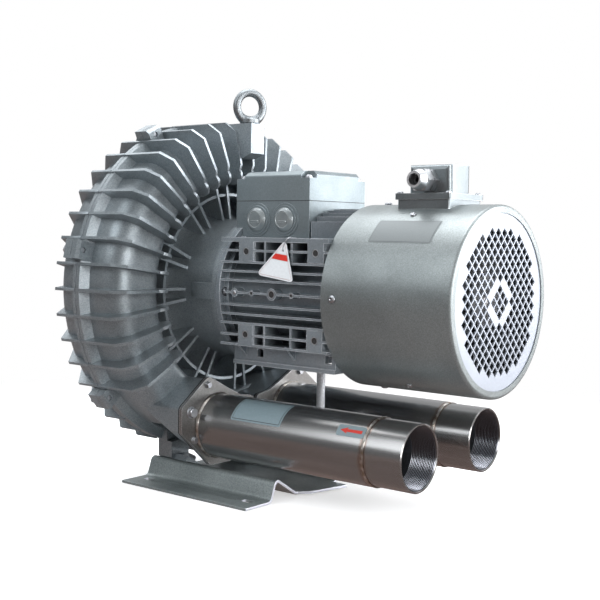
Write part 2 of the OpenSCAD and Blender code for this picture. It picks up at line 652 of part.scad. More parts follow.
module stator_housing() color([0.42, 0.45, 0.47]) difference() {
    union() {
        on_shaft(housing_x) cylinder(r = housing_r, h = housing_l);
        rib_at(0, housing_x + 6, housing_end - 6, rib_t);
        for (z = side_levels, s = [-1, 1]) rib_at(s * z, housing_x, housing_end, rib_t);
        rib_at(ledge_z + ledge_t / 2, housing_x, housing_end, ledge_t);
        rib_at(-ledge_z - rib_t / 2, housing_x, housing_end, rib_t);
        crown_fins(box_x + box_l / 2 + 4, housing_end, 1, tip_r);
        crown_fins(housing_x + 8, rod_x - 20, -1, foot_drop - 3);
        both_sides() side_pads();
        both_sides() motor_foot();
        translate([rod_x - 12, -14, motor_foot_z]) cube([24, 28, foot_drop - housing_r + 6]);
        for (x = [housing_x, housing_end - 8]) on_shaft(x) cylinder(r = housing_r + 9, h = 8);
    }
    on_shaft(housing_x - 1) cylinder(r = bore_r, h = housing_l + 2);
    difference() {
        translate([box_x0 - 1, -box_w / 2 - 1, box_foot]) cube([box_l + 2, box_w + 2, 60]);
        on_shaft(0) cylinder(r = housing_r, h = 300);
    }
    for (a = screw_angles) rotate_on_shaft(a) translate([housing_x - 1, spigot_r + 11, 0])
        rotate([0, 90, 0]) cylinder(r = 7, h = 6, $fn = 32);
    translate([rod_x, 0, motor_foot_z - 1]) cylinder(d = rod_d, h = 9, $fn = 32);
    on_shaft(cowl_x - cowl_gap) difference() {
        cylinder(r = 2 * housing_r, h = 20);
        translate([0, 0, -1]) cylinder(r = cowl_r - cowl_t - cowl_gap, h = 22);
    }
}
module stator_core() color([0.35, 0.35, 0.36]) on_shaft(core_x) difference() {
    cylinder(r = bore_r, h = core_l);
    translate([0, 0, -1]) cylinder(r = rotor_r + air_gap, h = core_l + 2);
}
module windings() color([0.7, 0.38, 0.16])
    for (x = [core_x - coil_l, core_x + core_l]) on_shaft(x) difference() {
        cylinder(r = bore_r - 5, h = coil_l);
        translate([0, 0, -1]) cylinder(r = rotor_r + 8, h = coil_l + 2);
    }
module rear_shield() color([0.5, 0.52, 0.53]) difference() {
    union() {
        on_shaft(0) rotate_extrude() polygon([[shaft_r + 3, housing_end],
            [bearing_r, housing_end], [bearing_r, housing_end - bearing_w + 2],
            [bearing_r + 9, housing_end - bearing_w + 2], [bearing_r + 9, housing_end],
            [housing_r + 8, housing_end], [housing_r + 8, housing_end + rear_t],
            [shaft_r + 3, housing_end + rear_t]]);
        for (a = [0 : 90 : 270]) rotate_on_shaft(a)
            intersection() {
                translate([housing_end, housing_r, -9]) cube([28, cowl_r - housing_r, 18]);
                rod_x_at(housing_end - 1, 0, 0, cowl_r - cowl_t, 30);
            }
    }
    on_shaft(housing_end - 1) cylinder(r = shaft_r + 3, h = rear_t + 2);
    for (a = [0 : 90 : 270]) rotate_on_shaft(a)
        translate([screw_x, cowl_r - cowl_t - 14, 0]) rotate([-90, 0, 0]) cylinder(r = 3, h = 15, $fn = 32);
}
module bearing(x) {
    on_shaft(x) difference() {
        cylinder(r = bearing_r, h = bearing_w);
        translate([0, 0, -1]) cylinder(r = shaft_r + run_gap, h = bearing_w + 2);
        for (z = [-1, bearing_w - 2]) translate([0, 0, z]) difference() {
            cylinder(r = bearing_r - 6, h = 3);
            translate([0, 0, -1]) cylinder(r = shaft_r + 7, h = 5);
        }
    }
}
module front_bearing() color([0.78, 0.79, 0.8]) bearing(motor_x + 4);
module rear_bearing() color([0.78, 0.79, 0.8]) bearing(housing_end - bearing_w);

module terminal_box() color([0.6, 0.63, 0.64]) difference() {
    union() {
        translate([box_x0, -box_w / 2, box_foot]) cube([box_l, box_w, box_z - box_foot]);
        for (x = plug_x) {
            rod_y_at(x, -box_w / 2 - boss_h, plug_z, boss_r, boss_h + 2);
            rod_y_at(x, -box_w / 2 - 2 * boss_h, plug_z, boss_r - 3.5, 2 * boss_h + 2);
        }
    }
    on_shaft(0) cylinder(r = housing_r, h = 300);
    on_shaft(0) cylinder(r = mount_r + box_gap, h = housing_x + box_gap);
    translate([box_x0 + box_wall, -box_w / 2 + box_wall, shaft_z + housing_r + 5])
        cube([box_l - 2 * box_wall, box_w - 2 * box_wall, 60]);
    for (x = plug_x) rod_y_at(x, -box_w / 2 - 6, plug_z, 12.5, 20);
    for (x = [-1, 1], y = [-1, 1]) translate([box_x + x * (box_l / 2 - 8), y * (box_w / 2 - 8), box_z - 14])
        cylinder(r = 2.5, h = 15, $fn = 32);
}
module terminal_lid() color([0.6, 0.63, 0.64]) difference() {
    intersection() {
        translate([0, box_w / 2, 0]) rotate([90, 0, 0]) linear_extrude(height = box_w)
            polygon([[box_x0, box_z], [box_x0 + box_l, box_z], [box_x0 + box_l, box_top - 5],
                [box_x0 + box_l - 5, box_top], [box_x0 + 18, box_top], [box_x0 + 6, box_top - 6],
                [box_x0, box_top - 7]]);
        pull_x(box_x0, box_l, soften([[-box_w / 2, box_z, 0.5], [box_w / 2, box_z, 0.5],
            [box_w / 2, box_top - 6, 3], [box_w / 2 - 9, box_top, 6],
            [-box_w / 2 + 9, box_top, 6], [-box_w / 2, box_top - 6, 3]], 3));
    }
    translate([box_x0 + 16, -box_w / 2 + box_wall, box_z - 1])
        cube([box_l - 32, box_w - 2 * box_wall, lid_h - 8]);
    translate([box_x0 + box_wall, -box_w / 2 + 16, box_z - 1])
        cube([box_l - 2 * box_wall, box_w - 32, lid_h - 8]);
    for (x = [-1, 1], y = [-1, 1]) translate([box_x + x * (box_l / 2 - 8), y * (box_w / 2 - 8), 0]) {
        translate([0, 0, box_z - 1]) cylinder(r = 2.7, h = lid_h + 2, $fn = 32);
        translate([x > 0 ? -7 : -9, y > 0 ? -7 : -9, box_top - 10]) cube([16, 16, 14]);
    }
}
module lid_screws() color([0.72, 0.73, 0.74])
    for (x = [-1, 1], y = [-1, 1]) translate([box_x + x * (box_l / 2 - 8), y * (box_w / 2 - 8), 0]) {
        translate([0, 0, box_z - 12]) cylinder(r = 2.5, h = lid_h + 3, $fn = 32);
        translate([0, 0, box_top - 10]) cylinder(r = 5, h = 4, $fn = 32);
    }
module conduit_plugs() color([0.66, 0.69, 0.7])
    for (x = plug_x) {
        rod_y_at(x, -box_w / 2 - 2 * boss_h - 3, plug_z, plug_r, 3);
        rod_y_at(x, -box_w / 2 - 2 * boss_h - 1, plug_z, 12.5, 12);
    }
module terminal_board() color([0.72, 0.62, 0.42]) {
    translate([box_x - 34, -22, shaft_z + housing_r + 5]) cube([68, 44, 12]);
    for (x = [-22, 0, 22], y = [-11, 11])
        translate([box_x + x, y, shaft_z + housing_r + 16]) cylinder(r = 3, h = 14, $fn = 32);
}

module fan_cowl() color([0.7, 0.72, 0.72]) difference() {
    on_shaft(0) rotate_extrude() polygon(concat(
        [[cowl_r - cowl_t, cowl_x], [cowl_r, cowl_x]],
        arc([cowl_r - 4, cowl_front - 4], 4, 4, 0, 90, 4),
        [[grille_r, cowl_front], [grille_r, cowl_front - 3.5], [grille_r - 9, cowl_front - 3.5],
            [grille_r - 9, cowl_front - 5.5], [cowl_r - cowl_t, cowl_front - 5.5]]));
    for (a = [0 : 90 : 270]) rotate_on_shaft(a) translate([screw_x, cowl_r - 8, 0])
        rotate([-90, 0, 0]) cylinder(r = 3.2, h = 12, $fn = 32);
    for (s = [-1, 1], t = [-1, 1]) rotate_on_shaft(s * 90 + t * spider_angle)
        translate([spider_x + spider_t / 2, cowl_r - 8, 0]) rotate([-90, 0, 0])
            cylinder(r = 2.2, h = 12, $fn = 32);
}
// Square holes on their corners in a diagonal pattern, with a solid diamond round the middle
function hole_here(i, j) =
    let (u = (i + j) / 2, v = (i - j) / 2)
    (i + j) % 2 == 0 && i * i + j * j < 140
    && !(max(abs(u), abs(v)) == 2 && !(abs(u) == 2 && abs(v) == 2));
module grille_disc() color([0.92, 0.93, 0.95]) {
    rim = [for (k = [0 : 95]) [(grille_r - 0.2) * cos(k * 3.75), (grille_r - 0.2) * sin(k * 3.75)]];
    centres = [for (i = [-12 : 12], j = [-12 : 12]) if (hole_here(i, j)) [i, j] * grille_h];
    q = grille_hole / sqrt(2);
    points = concat(rim, [for (c = centres) each [c + [q, 0], c + [0, q], c - [q, 0], c - [0, q]]]);
    paths = concat([[for (k = [0 : 95]) k]],
        [for (k = [0 : len(centres) - 1]) [for (m = [0 : 3]) 96 + 4 * k + m]]);
    translate([cowl_front - 3.5, 0, shaft_z]) rotate([90, 0, 90])
        linear_extrude(height = 2) polygon(points, paths);
}
module screw_out(x, r0, r1, r, head_r, head_t) {
    translate([x, r0, 0]) rotate([-90, 0, 0]) {
        cylinder(r = r, h = r1 - r0 + 1, $fn = 32);
        translate([0, 0, r1 - r0]) cylinder(r = head_r, h = head_t, $fn = 32);
    }
}
module cowl_screws() color([0.8, 0.81, 0.82])
    for (a = [0 : 90 : 270]) rotate_on_shaft(a) screw_out(screw_x, cowl_r - cowl_t - 12, cowl_r + 0.2, 3, 5, 3);
module fan_spider() color([0.35, 0.36, 0.37]) difference() {
    on_shaft(spider_x) union() {
        difference() {
            cylinder(r = cowl_r - cowl_t, h = spider_t);
            translate([0, 0, -1]) cylinder(r = cowl_r - cowl_t - 10, h = spider_t + 2);
        }
        cylinder(r = 42, h = spider_t);
        for (a = [0 : 60 : 120]) rotate([0, 0, a])
            translate([-cowl_r + cowl_t + 5, -4, 0]) cube([2 * (cowl_r - cowl_t) - 10, 8, spider_t]);
    }
    for (s = [-1, 1], t = [-1, 1]) rotate_on_shaft(s * 90 + t * spider_angle)
        translate([spider_x + spider_t / 2, cowl_r - cowl_t - 8, 0]) rotate([-90, 0, 0])
            cylinder(r = 2, h = 9, $fn = 32);
}
module spider_screws() color([0.8, 0.81, 0.82])
    for (s = [-1, 1], t = [-1, 1]) rotate_on_shaft(s * 90 + t * spider_angle)
        screw_out(spider_x + spider_t / 2, cowl_r - cowl_t - 7, cowl_r + 0.2, 2, 4, 2.5);
module fan_motor() color([0.18, 0.19, 0.2]) on_shaft(spider_x + spider_t) difference() {
    cylinder(r = 38, h = fan_motor_l);
    translate([0, 0, 6]) cylinder(r = 6 + run_gap, h = fan_motor_l);
}
module fan_shaft() color([0.75, 0.76, 0.77])
    on_shaft(spider_x + spider_t + 7) cylinder(r = 6, h = fan_motor_l + fan_w - 1);
module axial_fan() color([0.12, 0.13, 0.14]) difference() {
    union() {
        on_shaft(fan_x) cylinder(r = fan_hub_r, h = fan_w);
        intersection() {
            on_shaft(fan_x + 1) cylinder(r = fan_r, h = fan_w - 2);
            for (k = [0 : fan_blades - 1]) rotate_on_shaft(k * 360 / fan_blades)
                translate([fan_x + fan_w / 2, fan_hub_r - 4, 0]) rotate([0, 35, 0])
                    translate([-30, 0, -1.25]) cube([60, fan_r, 2.5]);
        }
    }
    on_shaft(fan_x - 1) cylinder(r = 6, h = fan_w + 2);
}

module junction_box() color([0.66, 0.68, 0.69]) difference() {
    translate([junction_x, 0, junction_z - 22]) linear_extrude(height = 22)
        polygon(soften([for (p = [[1, 1], [-1, 1], [-1, -1], [1, -1]])
            [p[0] * (junction_l / 2 - 3), p[1] * (junction_w / 2 - 3), 4]], 3));
    on_shaft(0) cylinder(r = cowl_r, h = 500);
    translate([junction_x - junction_l / 2 + 12, -junction_w / 2 + 12, shaft_z + cowl_r + 2.5])
        cube([junction_l - 24, junction_w - 24, 30]);
    junction_holes(2, 20);
}
module junction_holes(r, l) {
    for (x = [-1, 1], y = [-1, 1]) translate([junction_x + x * (junction_l / 2 - 6),
        y * (junction_w / 2 - 6), junction_z + lip_t + 1 - l]) cylinder(r = r, h = l, $fn = 32);
}
module junction_cover() color([0.72, 0.74, 0.75]) difference() {
    union() {
        translate([junction_x, 0, junction_z]) linear_extrude(height = lip_t)
            polygon(soften([for (p = [[1, 1], [-1, 1], [-1, -1], [1, -1]])
                [p[0] * junction_l / 2, p[1] * junction_w / 2, 5]], 3));
        intersection() {
            translate([junction_x, 0, junction_z]) linear_extrude(height = lip_t + cover_h)
                polygon(soften([for (p = [[1, 1], [-1, 1], [-1, -1], [1, -1]])
                    [p[0] * cover_l / 2, p[1] * cover_w / 2, 9]], 4));
            pull_x(junction_x - cover_l / 2, cover_l, soften([[-cover_w / 2, junction_z, 0.5],
                [cover_w / 2, junction_z, 0.5], [cover_w / 2, junction_z + lip_t + cover_h, 7],
                [-cover_w / 2, junction_z + lip_t + cover_h, 7]], 4));
        }
    }
    translate([junction_x - cover_l / 2 + 5, -cover_w / 2 + 5, junction_z - 1])
        cube([cover_l - 10, cover_w - 10, lip_t + cover_h - 3]);
    junction_holes(2.2, lip_t + 4);
    rod_y_at(junction_x, -cover_w / 2 - 1, gland_z, gland_af / 2 - 3, 8);
}
module junction_screws() color([0.75, 0.76, 0.78])
    for (x = [-1, 1], y = [-1, 1]) translate([junction_x + x * (junction_l / 2 - 6),
        y * (junction_w / 2 - 6), junction_z - 10]) {
            cylinder(r = 2, h = lip_t + 10, $fn = 32);
            translate([0, 0, lip_t + 10]) cylinder(r = 4, h = 2.5, $fn = 32);
        }
// Cable gland, drawn from the cover wall outwards
module on_gland(l) {
    translate([junction_x, -cover_w / 2 - l, gland_z]) rotate([90, 0, 0]) children();
}
module gland_body() color([0.82, 0.83, 0.85]) difference() {
    union() {
        on_gland(0) hexagon(gland_af, gland_step);
        on_gland(-6) cylinder(r = gland_af / 2 - 3, h = 12);
        on_gland(gland_step - 1) cylinder(r = gland_af / 2 - 3, h = 9);
    }
    on_gland(-7) cylinder(r = gland_af / 2 - 6, h = 30);
}
module gland_nut() color([0.82, 0.83, 0.85]) difference() {
    union() {
        on_gland(gland_step + 2) hexagon(gland_af, 13);
        on_gland(gland_step + 15) cylinder(r1 = gland_af / 2, r2 = gland_af / 2 - 3, h = 12);
    }
    on_gland(gland_step + 1) cylinder(r = gland_af / 2 - 3, h = 17);
    on_gland(gland_step + 16) cylinder(r = gland_af / 2 - 6, h = 14);
}
module gland_seal() color([0.1, 0.1, 0.1]) on_gland(gland_step + 9) difference() {
    cylinder(r = gland_af / 2 - 3, h = 9);
    translate([0, 0, -1]) cylinder(r = 3.5, h = 11);
}

module eye_bolt() color([0.8, 0.82, 0.84]) {
    translate([eye_x, 0, shaft_z + eye_pad - 25]) cylinder(r = eye_thread_r, h = 26, $fn = 32);
    translate([eye_x, 0, shaft_z + eye_pad]) cylinder(r = 15, h = eye_collar_h);
    translate([eye_x, 0, shaft_z + eye_pad + eye_rise]) rotate([90, 0, eye_turn])
        difference() {
            rotate_extrude() translate([eye_ring_r, 0]) circle(r = eye_wire_r, $fn = 32);
            translate([-40, -40 - eye_rise + eye_collar_h / 2, -40]) cube([80, 40, 80]);
        }
}
// Rod from the motor foot to a bar between the two pipes
module support_rod() color([0.75, 0.76, 0.77]) {
    translate([rod_x, 0, pipe_z - 1]) cylinder(d = rod_d, h = motor_foot_z + 9 - pipe_z);
    difference() {
        translate([rod_x - bridge_w / 2, -pipe_y, pipe_z - bridge_t / 2])
            cube([bridge_w, 2 * pipe_y, bridge_t]);
        both_sides() rod_x_at(rod_x - bridge_w, -pipe_y, pipe_z, tube_r, 2 * bridge_w);
    }
}
module rod_nuts() color([0.72, 0.73, 0.74]) {
    for (z = [pipe_z + bridge_t / 2, motor_foot_z - 8]) translate([rod_x, 0, z]) difference() {
        hexagon(1.6 * rod_d, 8);
        translate([0, 0, -1]) cylinder(d = rod_d, h = 10);
    }
}

module motor_shaft() color([0.78, 0.79, 0.8])
    on_shaft(0) rotate_extrude() polygon([[0, shaft_start], [nut_r, shaft_start],
        [nut_r, seam_x - impeller_w / 2 + 4], [seat_r, seam_x - impeller_w / 2 + 4],
        [seat_r, seam_x + impeller_w / 2], [shaft_r, seam_x + impeller_w / 2],
        [shaft_r, motor_x + 10 + bearing_w], [core_seat_r, motor_x + 10 + bearing_w],
        [core_seat_r, housing_end - bearing_w - 6], [shaft_r, housing_end - bearing_w - 6],
        [shaft_r, shaft_end], [0, shaft_end]]);
module rotor_core() color([0.4, 0.4, 0.41]) on_shaft(core_x) difference() {
    cylinder(r = rotor_r, h = core_l);
    translate([0, 0, -1]) cylinder(r = core_seat_r, h = core_l + 2);
}
// Bladed wheel with a hub, a thin disc and open pockets on both sides of a middle wall
module impeller() color([0.72, 0.73, 0.74]) {
    w = impeller_w / 2;
    ring_in = channel_r - channel_half - 7;
    ring_out = channel_r - channel_half;
    revolve([[seat_r, -w + 4], [hub_r, -w + 4], [hub_r, -disc_half], [ring_in, -disc_half],
        [ring_in, -w], [ring_out, -w], [ring_out, -divider_t], [ring_out + 12, -divider_t / 2],
        [impeller_r, -divider_t / 2], [impeller_r, divider_t / 2],
        [ring_out + 12, divider_t / 2], [ring_out, divider_t], [ring_out, w], [ring_in, w],
        [ring_in, disc_half], [hub_r, disc_half], [hub_r, w], [seat_r, w]]);
    for (k = [0 : blade_count - 1]) radial_plate([[ring_out - 3, 1 - w],
        [impeller_r - 1, 1 - w], [impeller_r - 1, w - 1], [ring_out - 3, w - 1]],
        k * 360 / blade_count, blade_t);
}
module impeller_nut() color([0.7, 0.71, 0.72]) on_shaft(seam_x - impeller_w / 2 + 4 - nut_l) difference() {
    union() {
        hexagon(30, nut_l - 3);
        translate([0, 0, nut_l - 3]) cylinder(r = 20, h = 3);
    }
    translate([0, 0, -1]) cylinder(r = nut_r, h = nut_l + 2);
}

base_plate();
front_casing();
rear_cover();
casing_gasket();
casing_bolts();
foot_bolts();
shaft_seal();
inlet_flange();
inlet_gasket();
inlet_tube();
inlet_socket();
inlet_liner();
inlet_bolts();
outlet_flange();
outlet_gasket();
outlet_tube();
outlet_socket();
outlet_liner();
outlet_bolts();
drive_shield();
flange_screws();
stator_housing();
stator_core();
windings();
rear_shield();
front_bearing();
rear_bearing();
terminal_box();
terminal_lid();
lid_screws();
conduit_plugs();
terminal_board();
fan_cowl();
grille_disc();
cowl_screws();
fan_spider();
spider_screws();
fan_motor();
junction_box();
junction_cover();
junction_screws();
gland_body();
gland_nut();
gland_seal();
eye_bolt();
support_rod();
rod_nuts();
motor_shaft();
rotor_core();
impeller();
impeller_nut();
fan_shaft();
axial_fan();
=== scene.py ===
import json
import math

import bmesh
import bpy
from mathutils import Matrix, Vector, noise


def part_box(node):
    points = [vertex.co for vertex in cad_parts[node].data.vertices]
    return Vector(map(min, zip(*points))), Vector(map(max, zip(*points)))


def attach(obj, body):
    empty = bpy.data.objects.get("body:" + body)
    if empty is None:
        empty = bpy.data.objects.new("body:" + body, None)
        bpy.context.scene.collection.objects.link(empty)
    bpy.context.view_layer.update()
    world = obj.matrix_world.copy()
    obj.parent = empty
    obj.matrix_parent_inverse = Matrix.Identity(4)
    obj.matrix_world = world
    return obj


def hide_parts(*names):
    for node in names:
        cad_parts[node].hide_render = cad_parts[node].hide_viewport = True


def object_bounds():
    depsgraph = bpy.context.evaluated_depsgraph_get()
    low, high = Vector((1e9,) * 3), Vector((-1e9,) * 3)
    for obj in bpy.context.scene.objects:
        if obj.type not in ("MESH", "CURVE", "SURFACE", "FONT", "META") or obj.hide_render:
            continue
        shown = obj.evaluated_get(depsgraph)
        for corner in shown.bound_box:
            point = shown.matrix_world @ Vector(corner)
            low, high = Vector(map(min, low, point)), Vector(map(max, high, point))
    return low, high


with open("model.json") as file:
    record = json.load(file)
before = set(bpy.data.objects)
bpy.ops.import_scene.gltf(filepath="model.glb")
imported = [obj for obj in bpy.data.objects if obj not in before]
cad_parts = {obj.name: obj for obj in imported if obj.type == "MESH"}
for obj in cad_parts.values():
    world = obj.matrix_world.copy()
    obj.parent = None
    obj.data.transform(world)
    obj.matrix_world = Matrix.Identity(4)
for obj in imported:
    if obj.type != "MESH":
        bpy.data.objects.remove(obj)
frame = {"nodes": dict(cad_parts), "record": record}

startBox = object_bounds()  # the CAD model's own box
record = frame["record"]
nodes = frame["nodes"]

# measures taken from the frame, in metres
cowlLow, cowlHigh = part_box("fan_cowl")
tubeLow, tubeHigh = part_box("inlet_tube")
socketLow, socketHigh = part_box("inlet_socket")
shaftZ = (cowlLow.z + cowlHigh.z) / 2
cowlR = (cowlHigh.z - cowlLow.z) / 2
tubeR = (tubeHigh.z - tubeLow.z) / 2
pipeY = (tubeLow.y + tubeHigh.y) / 2
pipeZ = (tubeLow.z + tubeHigh.z) / 2
socketR = (socketHigh.z - socketLow.z) / 2


# node trees

class Nodes:
    def __init__(self, tree):
        self.tree = tree

    def node(self, kind, **values):
        made = self.tree.nodes.new(kind)
        for key, value in values.items():
            setattr(made, key, value)
        return made

    def link(self, a, b):
        self.tree.links.new(a, b)

    def feed(self, source, socket):
        # a link from another socket, a colour or a number
        if hasattr(source, "node"):
            self.link(source, socket)
        else:
            socket.default_value = (*source, 1) if hasattr(source, "__len__") else source

    def spread(self, source, low, high, fromLow=0.0, fromHigh=1.0):
        tool = self.node("ShaderNodeMapRange")
        tool.inputs["From Min"].default_value = fromLow
        tool.inputs["From Max"].default_value = fromHigh
        tool.inputs["To Min"].default_value = low
        tool.inputs["To Max"].default_value = high
        self.link(source, tool.inputs["Value"])
        return tool.outputs[0]

    def maths(self, operation, a, b=0.0):
        tool = self.node("ShaderNodeMath", operation=operation)
        self.feed(a, tool.inputs[0])
        self.feed(b, tool.inputs[1])
        return tool.outputs[0]

    def glowing(self, kind, colour=(1, 1, 1), strength=1.0):
        # a background or emission of one plain colour
        made = self.node(kind)
        self.feed(colour, made.inputs["Color"])
        self.feed(strength, made.inputs["Strength"])
        return made

    def choose(self, factor, a, b):
        # shader a where the factor is 0, b where it is 1
        mix = self.node("ShaderNodeMixShader")
        self.link(factor, mix.inputs[0])
        self.link(a.outputs[0], mix.inputs[1])
        self.link(b.outputs[0], mix.inputs[2])
        return mix


class Finish(Nodes):
    # one material and its node tree
    def __init__(self, name):
        self.mat = bpy.data.materials.new(name)
        self.mat.use_nodes = True
        super().__init__(self.mat.node_tree)
        self.shader = self.tree.nodes["Principled BSDF"]
        self.coord = self.node("ShaderNodeTexCoord")

    def stretched(self, scale):
        mapping = self.node("ShaderNodeMapping")
        mapping.inputs["Scale"].default_value = scale
        self.link(self.coord.outputs["Object"], mapping.inputs["Vector"])
        return mapping.outputs[0]

    def noise(self, scale, detail, vector=None):
        tex = self.node("ShaderNodeTexNoise")
        tex.inputs["Scale"].default_value = scale
        tex.inputs["Detail"].default_value = detail
        self.link(vector or self.coord.outputs["Object"], tex.inputs["Vector"])
        return tex.outputs["Fac"]

    def cells(self, scale):
        tex = self.node("ShaderNodeTexVoronoi")
        tex.inputs["Scale"].default_value = scale
        self.link(self.coord.outputs["Object"], tex.inputs["Vector"])
        return tex.outputs["Color"]

    def ramp(self, source, stops):
        ramp = self.node("ShaderNodeValToRGB")
        while len(ramp.color_ramp.elements) < len(stops):
            ramp.color_ramp.elements.new(0.5)
        for element, (place, colour) in zip(ramp.color_ramp.elements, stops):
            element.position = place
            element.color = (*colour, 1)
        self.link(source, ramp.inputs[0])
        return ramp.outputs[0]

    def mix(self, factor, a, b, mode="MIX"):
        tool = self.node("ShaderNodeMix", data_type="RGBA", blend_type=mode)
        for source, place in ((factor, 0), (a, 6), (b, 7)):
            self.feed(source, tool.inputs[place])
        return tool.outputs[2]

    def edges(self, radius):
        # 0 on flat metal, rising to 1 on outer and inner edges
        bevel = self.node("ShaderNodeBevel", samples=4)
        bevel.inputs["Radius"].default_value = radius
        geometry = self.node("ShaderNodeNewGeometry")
        dot = self.node("ShaderNodeVectorMath", operation="DOT_PRODUCT")
        self.link(bevel.outputs[0], dot.inputs[0])
        self.link(geometry.outputs["Normal"], dot.inputs[1])
        return self.spread(dot.outputs["Value"], 1.0, 0.0, 0.80, 0.995)

    def bump(self, height, strength, distance):
        tool = self.node("ShaderNodeBump")
        tool.inputs["Strength"].default_value = strength
        tool.inputs["Distance"].default_value = distance
        self.link(height, tool.inputs["Height"])
        return tool.outputs[0]

    def set(self, **sockets):
        for key, value in sockets.items():
            self.feed(value, self.shader.inputs[key.replace("_", " ")])


# camera, lamps, floor

cameraSpec = {
    "place": (1.0498, -1.1989, 0.3714),
    "back": (0.6257, -0.7774, 0.0635),  # from what it looks at towards the camera
    "roll": 0.85,
    "lens": 64.15,
    "sensor": 36,
    "shift": 0.0025,
}


def makeCamera(spec):
    data = bpy.data.cameras.new("camera")
    data.lens = spec["lens"]
    data.sensor_width = spec["sensor"]
    data.shift_x = spec["shift"]
    camera = bpy.data.objects.new("camera", data)
    bpy.context.scene.collection.objects.link(camera)
    back = Vector(spec["back"]).normalized()
    right = Vector((0, 0, 1)).cross(back).normalized()
    up = back.cross(right)
    a = math.radians(spec["roll"])
    tipRight = right * math.cos(a) + up * math.sin(a)
    tipUp = back.cross(tipRight)
    turn = Matrix((tipRight, tipUp, back)).transposed()
    camera.matrix_world = Matrix.Translation(spec["place"]) @ turn.to_4x4()
    bpy.context.scene.camera = camera


studioSpec = {
    "lamps": {
        "key": {"place": (2.15, 1.50, 0.75), "size": 1.9, "power": 86, "colour": (0.98, 0.985, 1.0)},
        "fill": {"place": (-0.6, -2.0, 1.80), "size": 1.7, "power": 23, "colour": (0.95, 0.98, 1.0)},
        "top": {"place": (0.0, 0.3, 2.3), "size": 1.6, "power": 48, "colour": (0.97, 0.985, 1.0)},
        "front": {"place": (2.3, -0.9, 0.75), "size": 0.9, "power": 25, "colour": (1.0, 0.99, 0.98)},
        "back": {"place": (-1.5, 0.2, 1.9), "size": 1.5, "power": 17, "colour": (0.98, 0.99, 1.0)},
    },
    "aimX": 0.08,  # the lamps point at the shaft here
    "worldLight": 0.45,
    "worldColour": (0.96, 0.98, 1.0),
    "mirrorColour": (0.97, 0.98, 1.0),
    "mirrorFar": 1.00,  # what shiny parts see on the lit side
    "mirrorNear": 0.20,  # and on the other side
    "litSide": (0.50, 0.866, 0),
    "litBand": (-0.55, 0.65),  # how far round the lit side fades in
    "horizonBand": (-0.40, 0.55),  # and how far up the sky does
    "horizonDim": 0.35,
}


def makeLamp(name, spec, aim):
    data = bpy.data.lights.new(name, "AREA")
    data.shape = "SQUARE"
    data.size = spec["size"]
    data.energy = spec["power"]
    data.color = spec["colour"]
    lamp = bpy.data.objects.new(name, data)
    bpy.context.scene.collection.objects.link(lamp)
    lamp.location = spec["place"]
    lamp.rotation_euler = (Vector(spec["place"]) - aim).to_track_quat("Z", "Y").to_euler()


def makeWorld(spec):
    world = bpy.data.worlds.new("studio")
    bpy.context.scene.world = world
    world.use_nodes = True
    f = Nodes(world.node_tree)
    f.tree.nodes.clear()
    path = f.node("ShaderNodeLightPath")
    coord = f.node("ShaderNodeTexCoord")
    split = f.node("ShaderNodeSeparateXYZ")
    f.link(coord.outputs["Generated"], split.inputs[0])
    towards = f.node("ShaderNodeVectorMath", operation="DOT_PRODUCT")
    towards.inputs[1].default_value = spec["litSide"]
    f.link(coord.outputs["Generated"], towards.inputs[0])
    around = f.spread(towards.outputs["Value"], spec["mirrorNear"], spec["mirrorFar"], *spec["litBand"])
    above = f.spread(split.outputs["Z"], spec["horizonDim"], 1.0, *spec["horizonBand"])
    lit = f.glowing("ShaderNodeBackground", spec["worldColour"], spec["worldLight"])
    mirror = f.glowing("ShaderNodeBackground", spec["mirrorColour"], f.maths("MULTIPLY", around, above))
    glossy = f.choose(path.outputs["Is Glossy Ray"], lit, mirror)
    straight = f.maths("MAXIMUM", path.outputs["Is Camera Ray"], path.outputs["Is Transmission Ray"])
    both = f.choose(straight, glossy, f.glowing("ShaderNodeBackground"))
    out = f.node("ShaderNodeOutputWorld")
    f.link(both.outputs[0], out.inputs["Surface"])


floorSpec = {
    "reach": 14,
    "colour": (0.86, 0.87, 0.88),
    "glow": 0.52,
    "fade": (0.32, 1.15),  # from the object outwards
    "paintedBrownReflection": (0.255, 0.185, 0.165),  # painted brown reflection: the floor glows this brown to glossy rays only, so shiny undersides show it
    "drop": 0.0004,
}


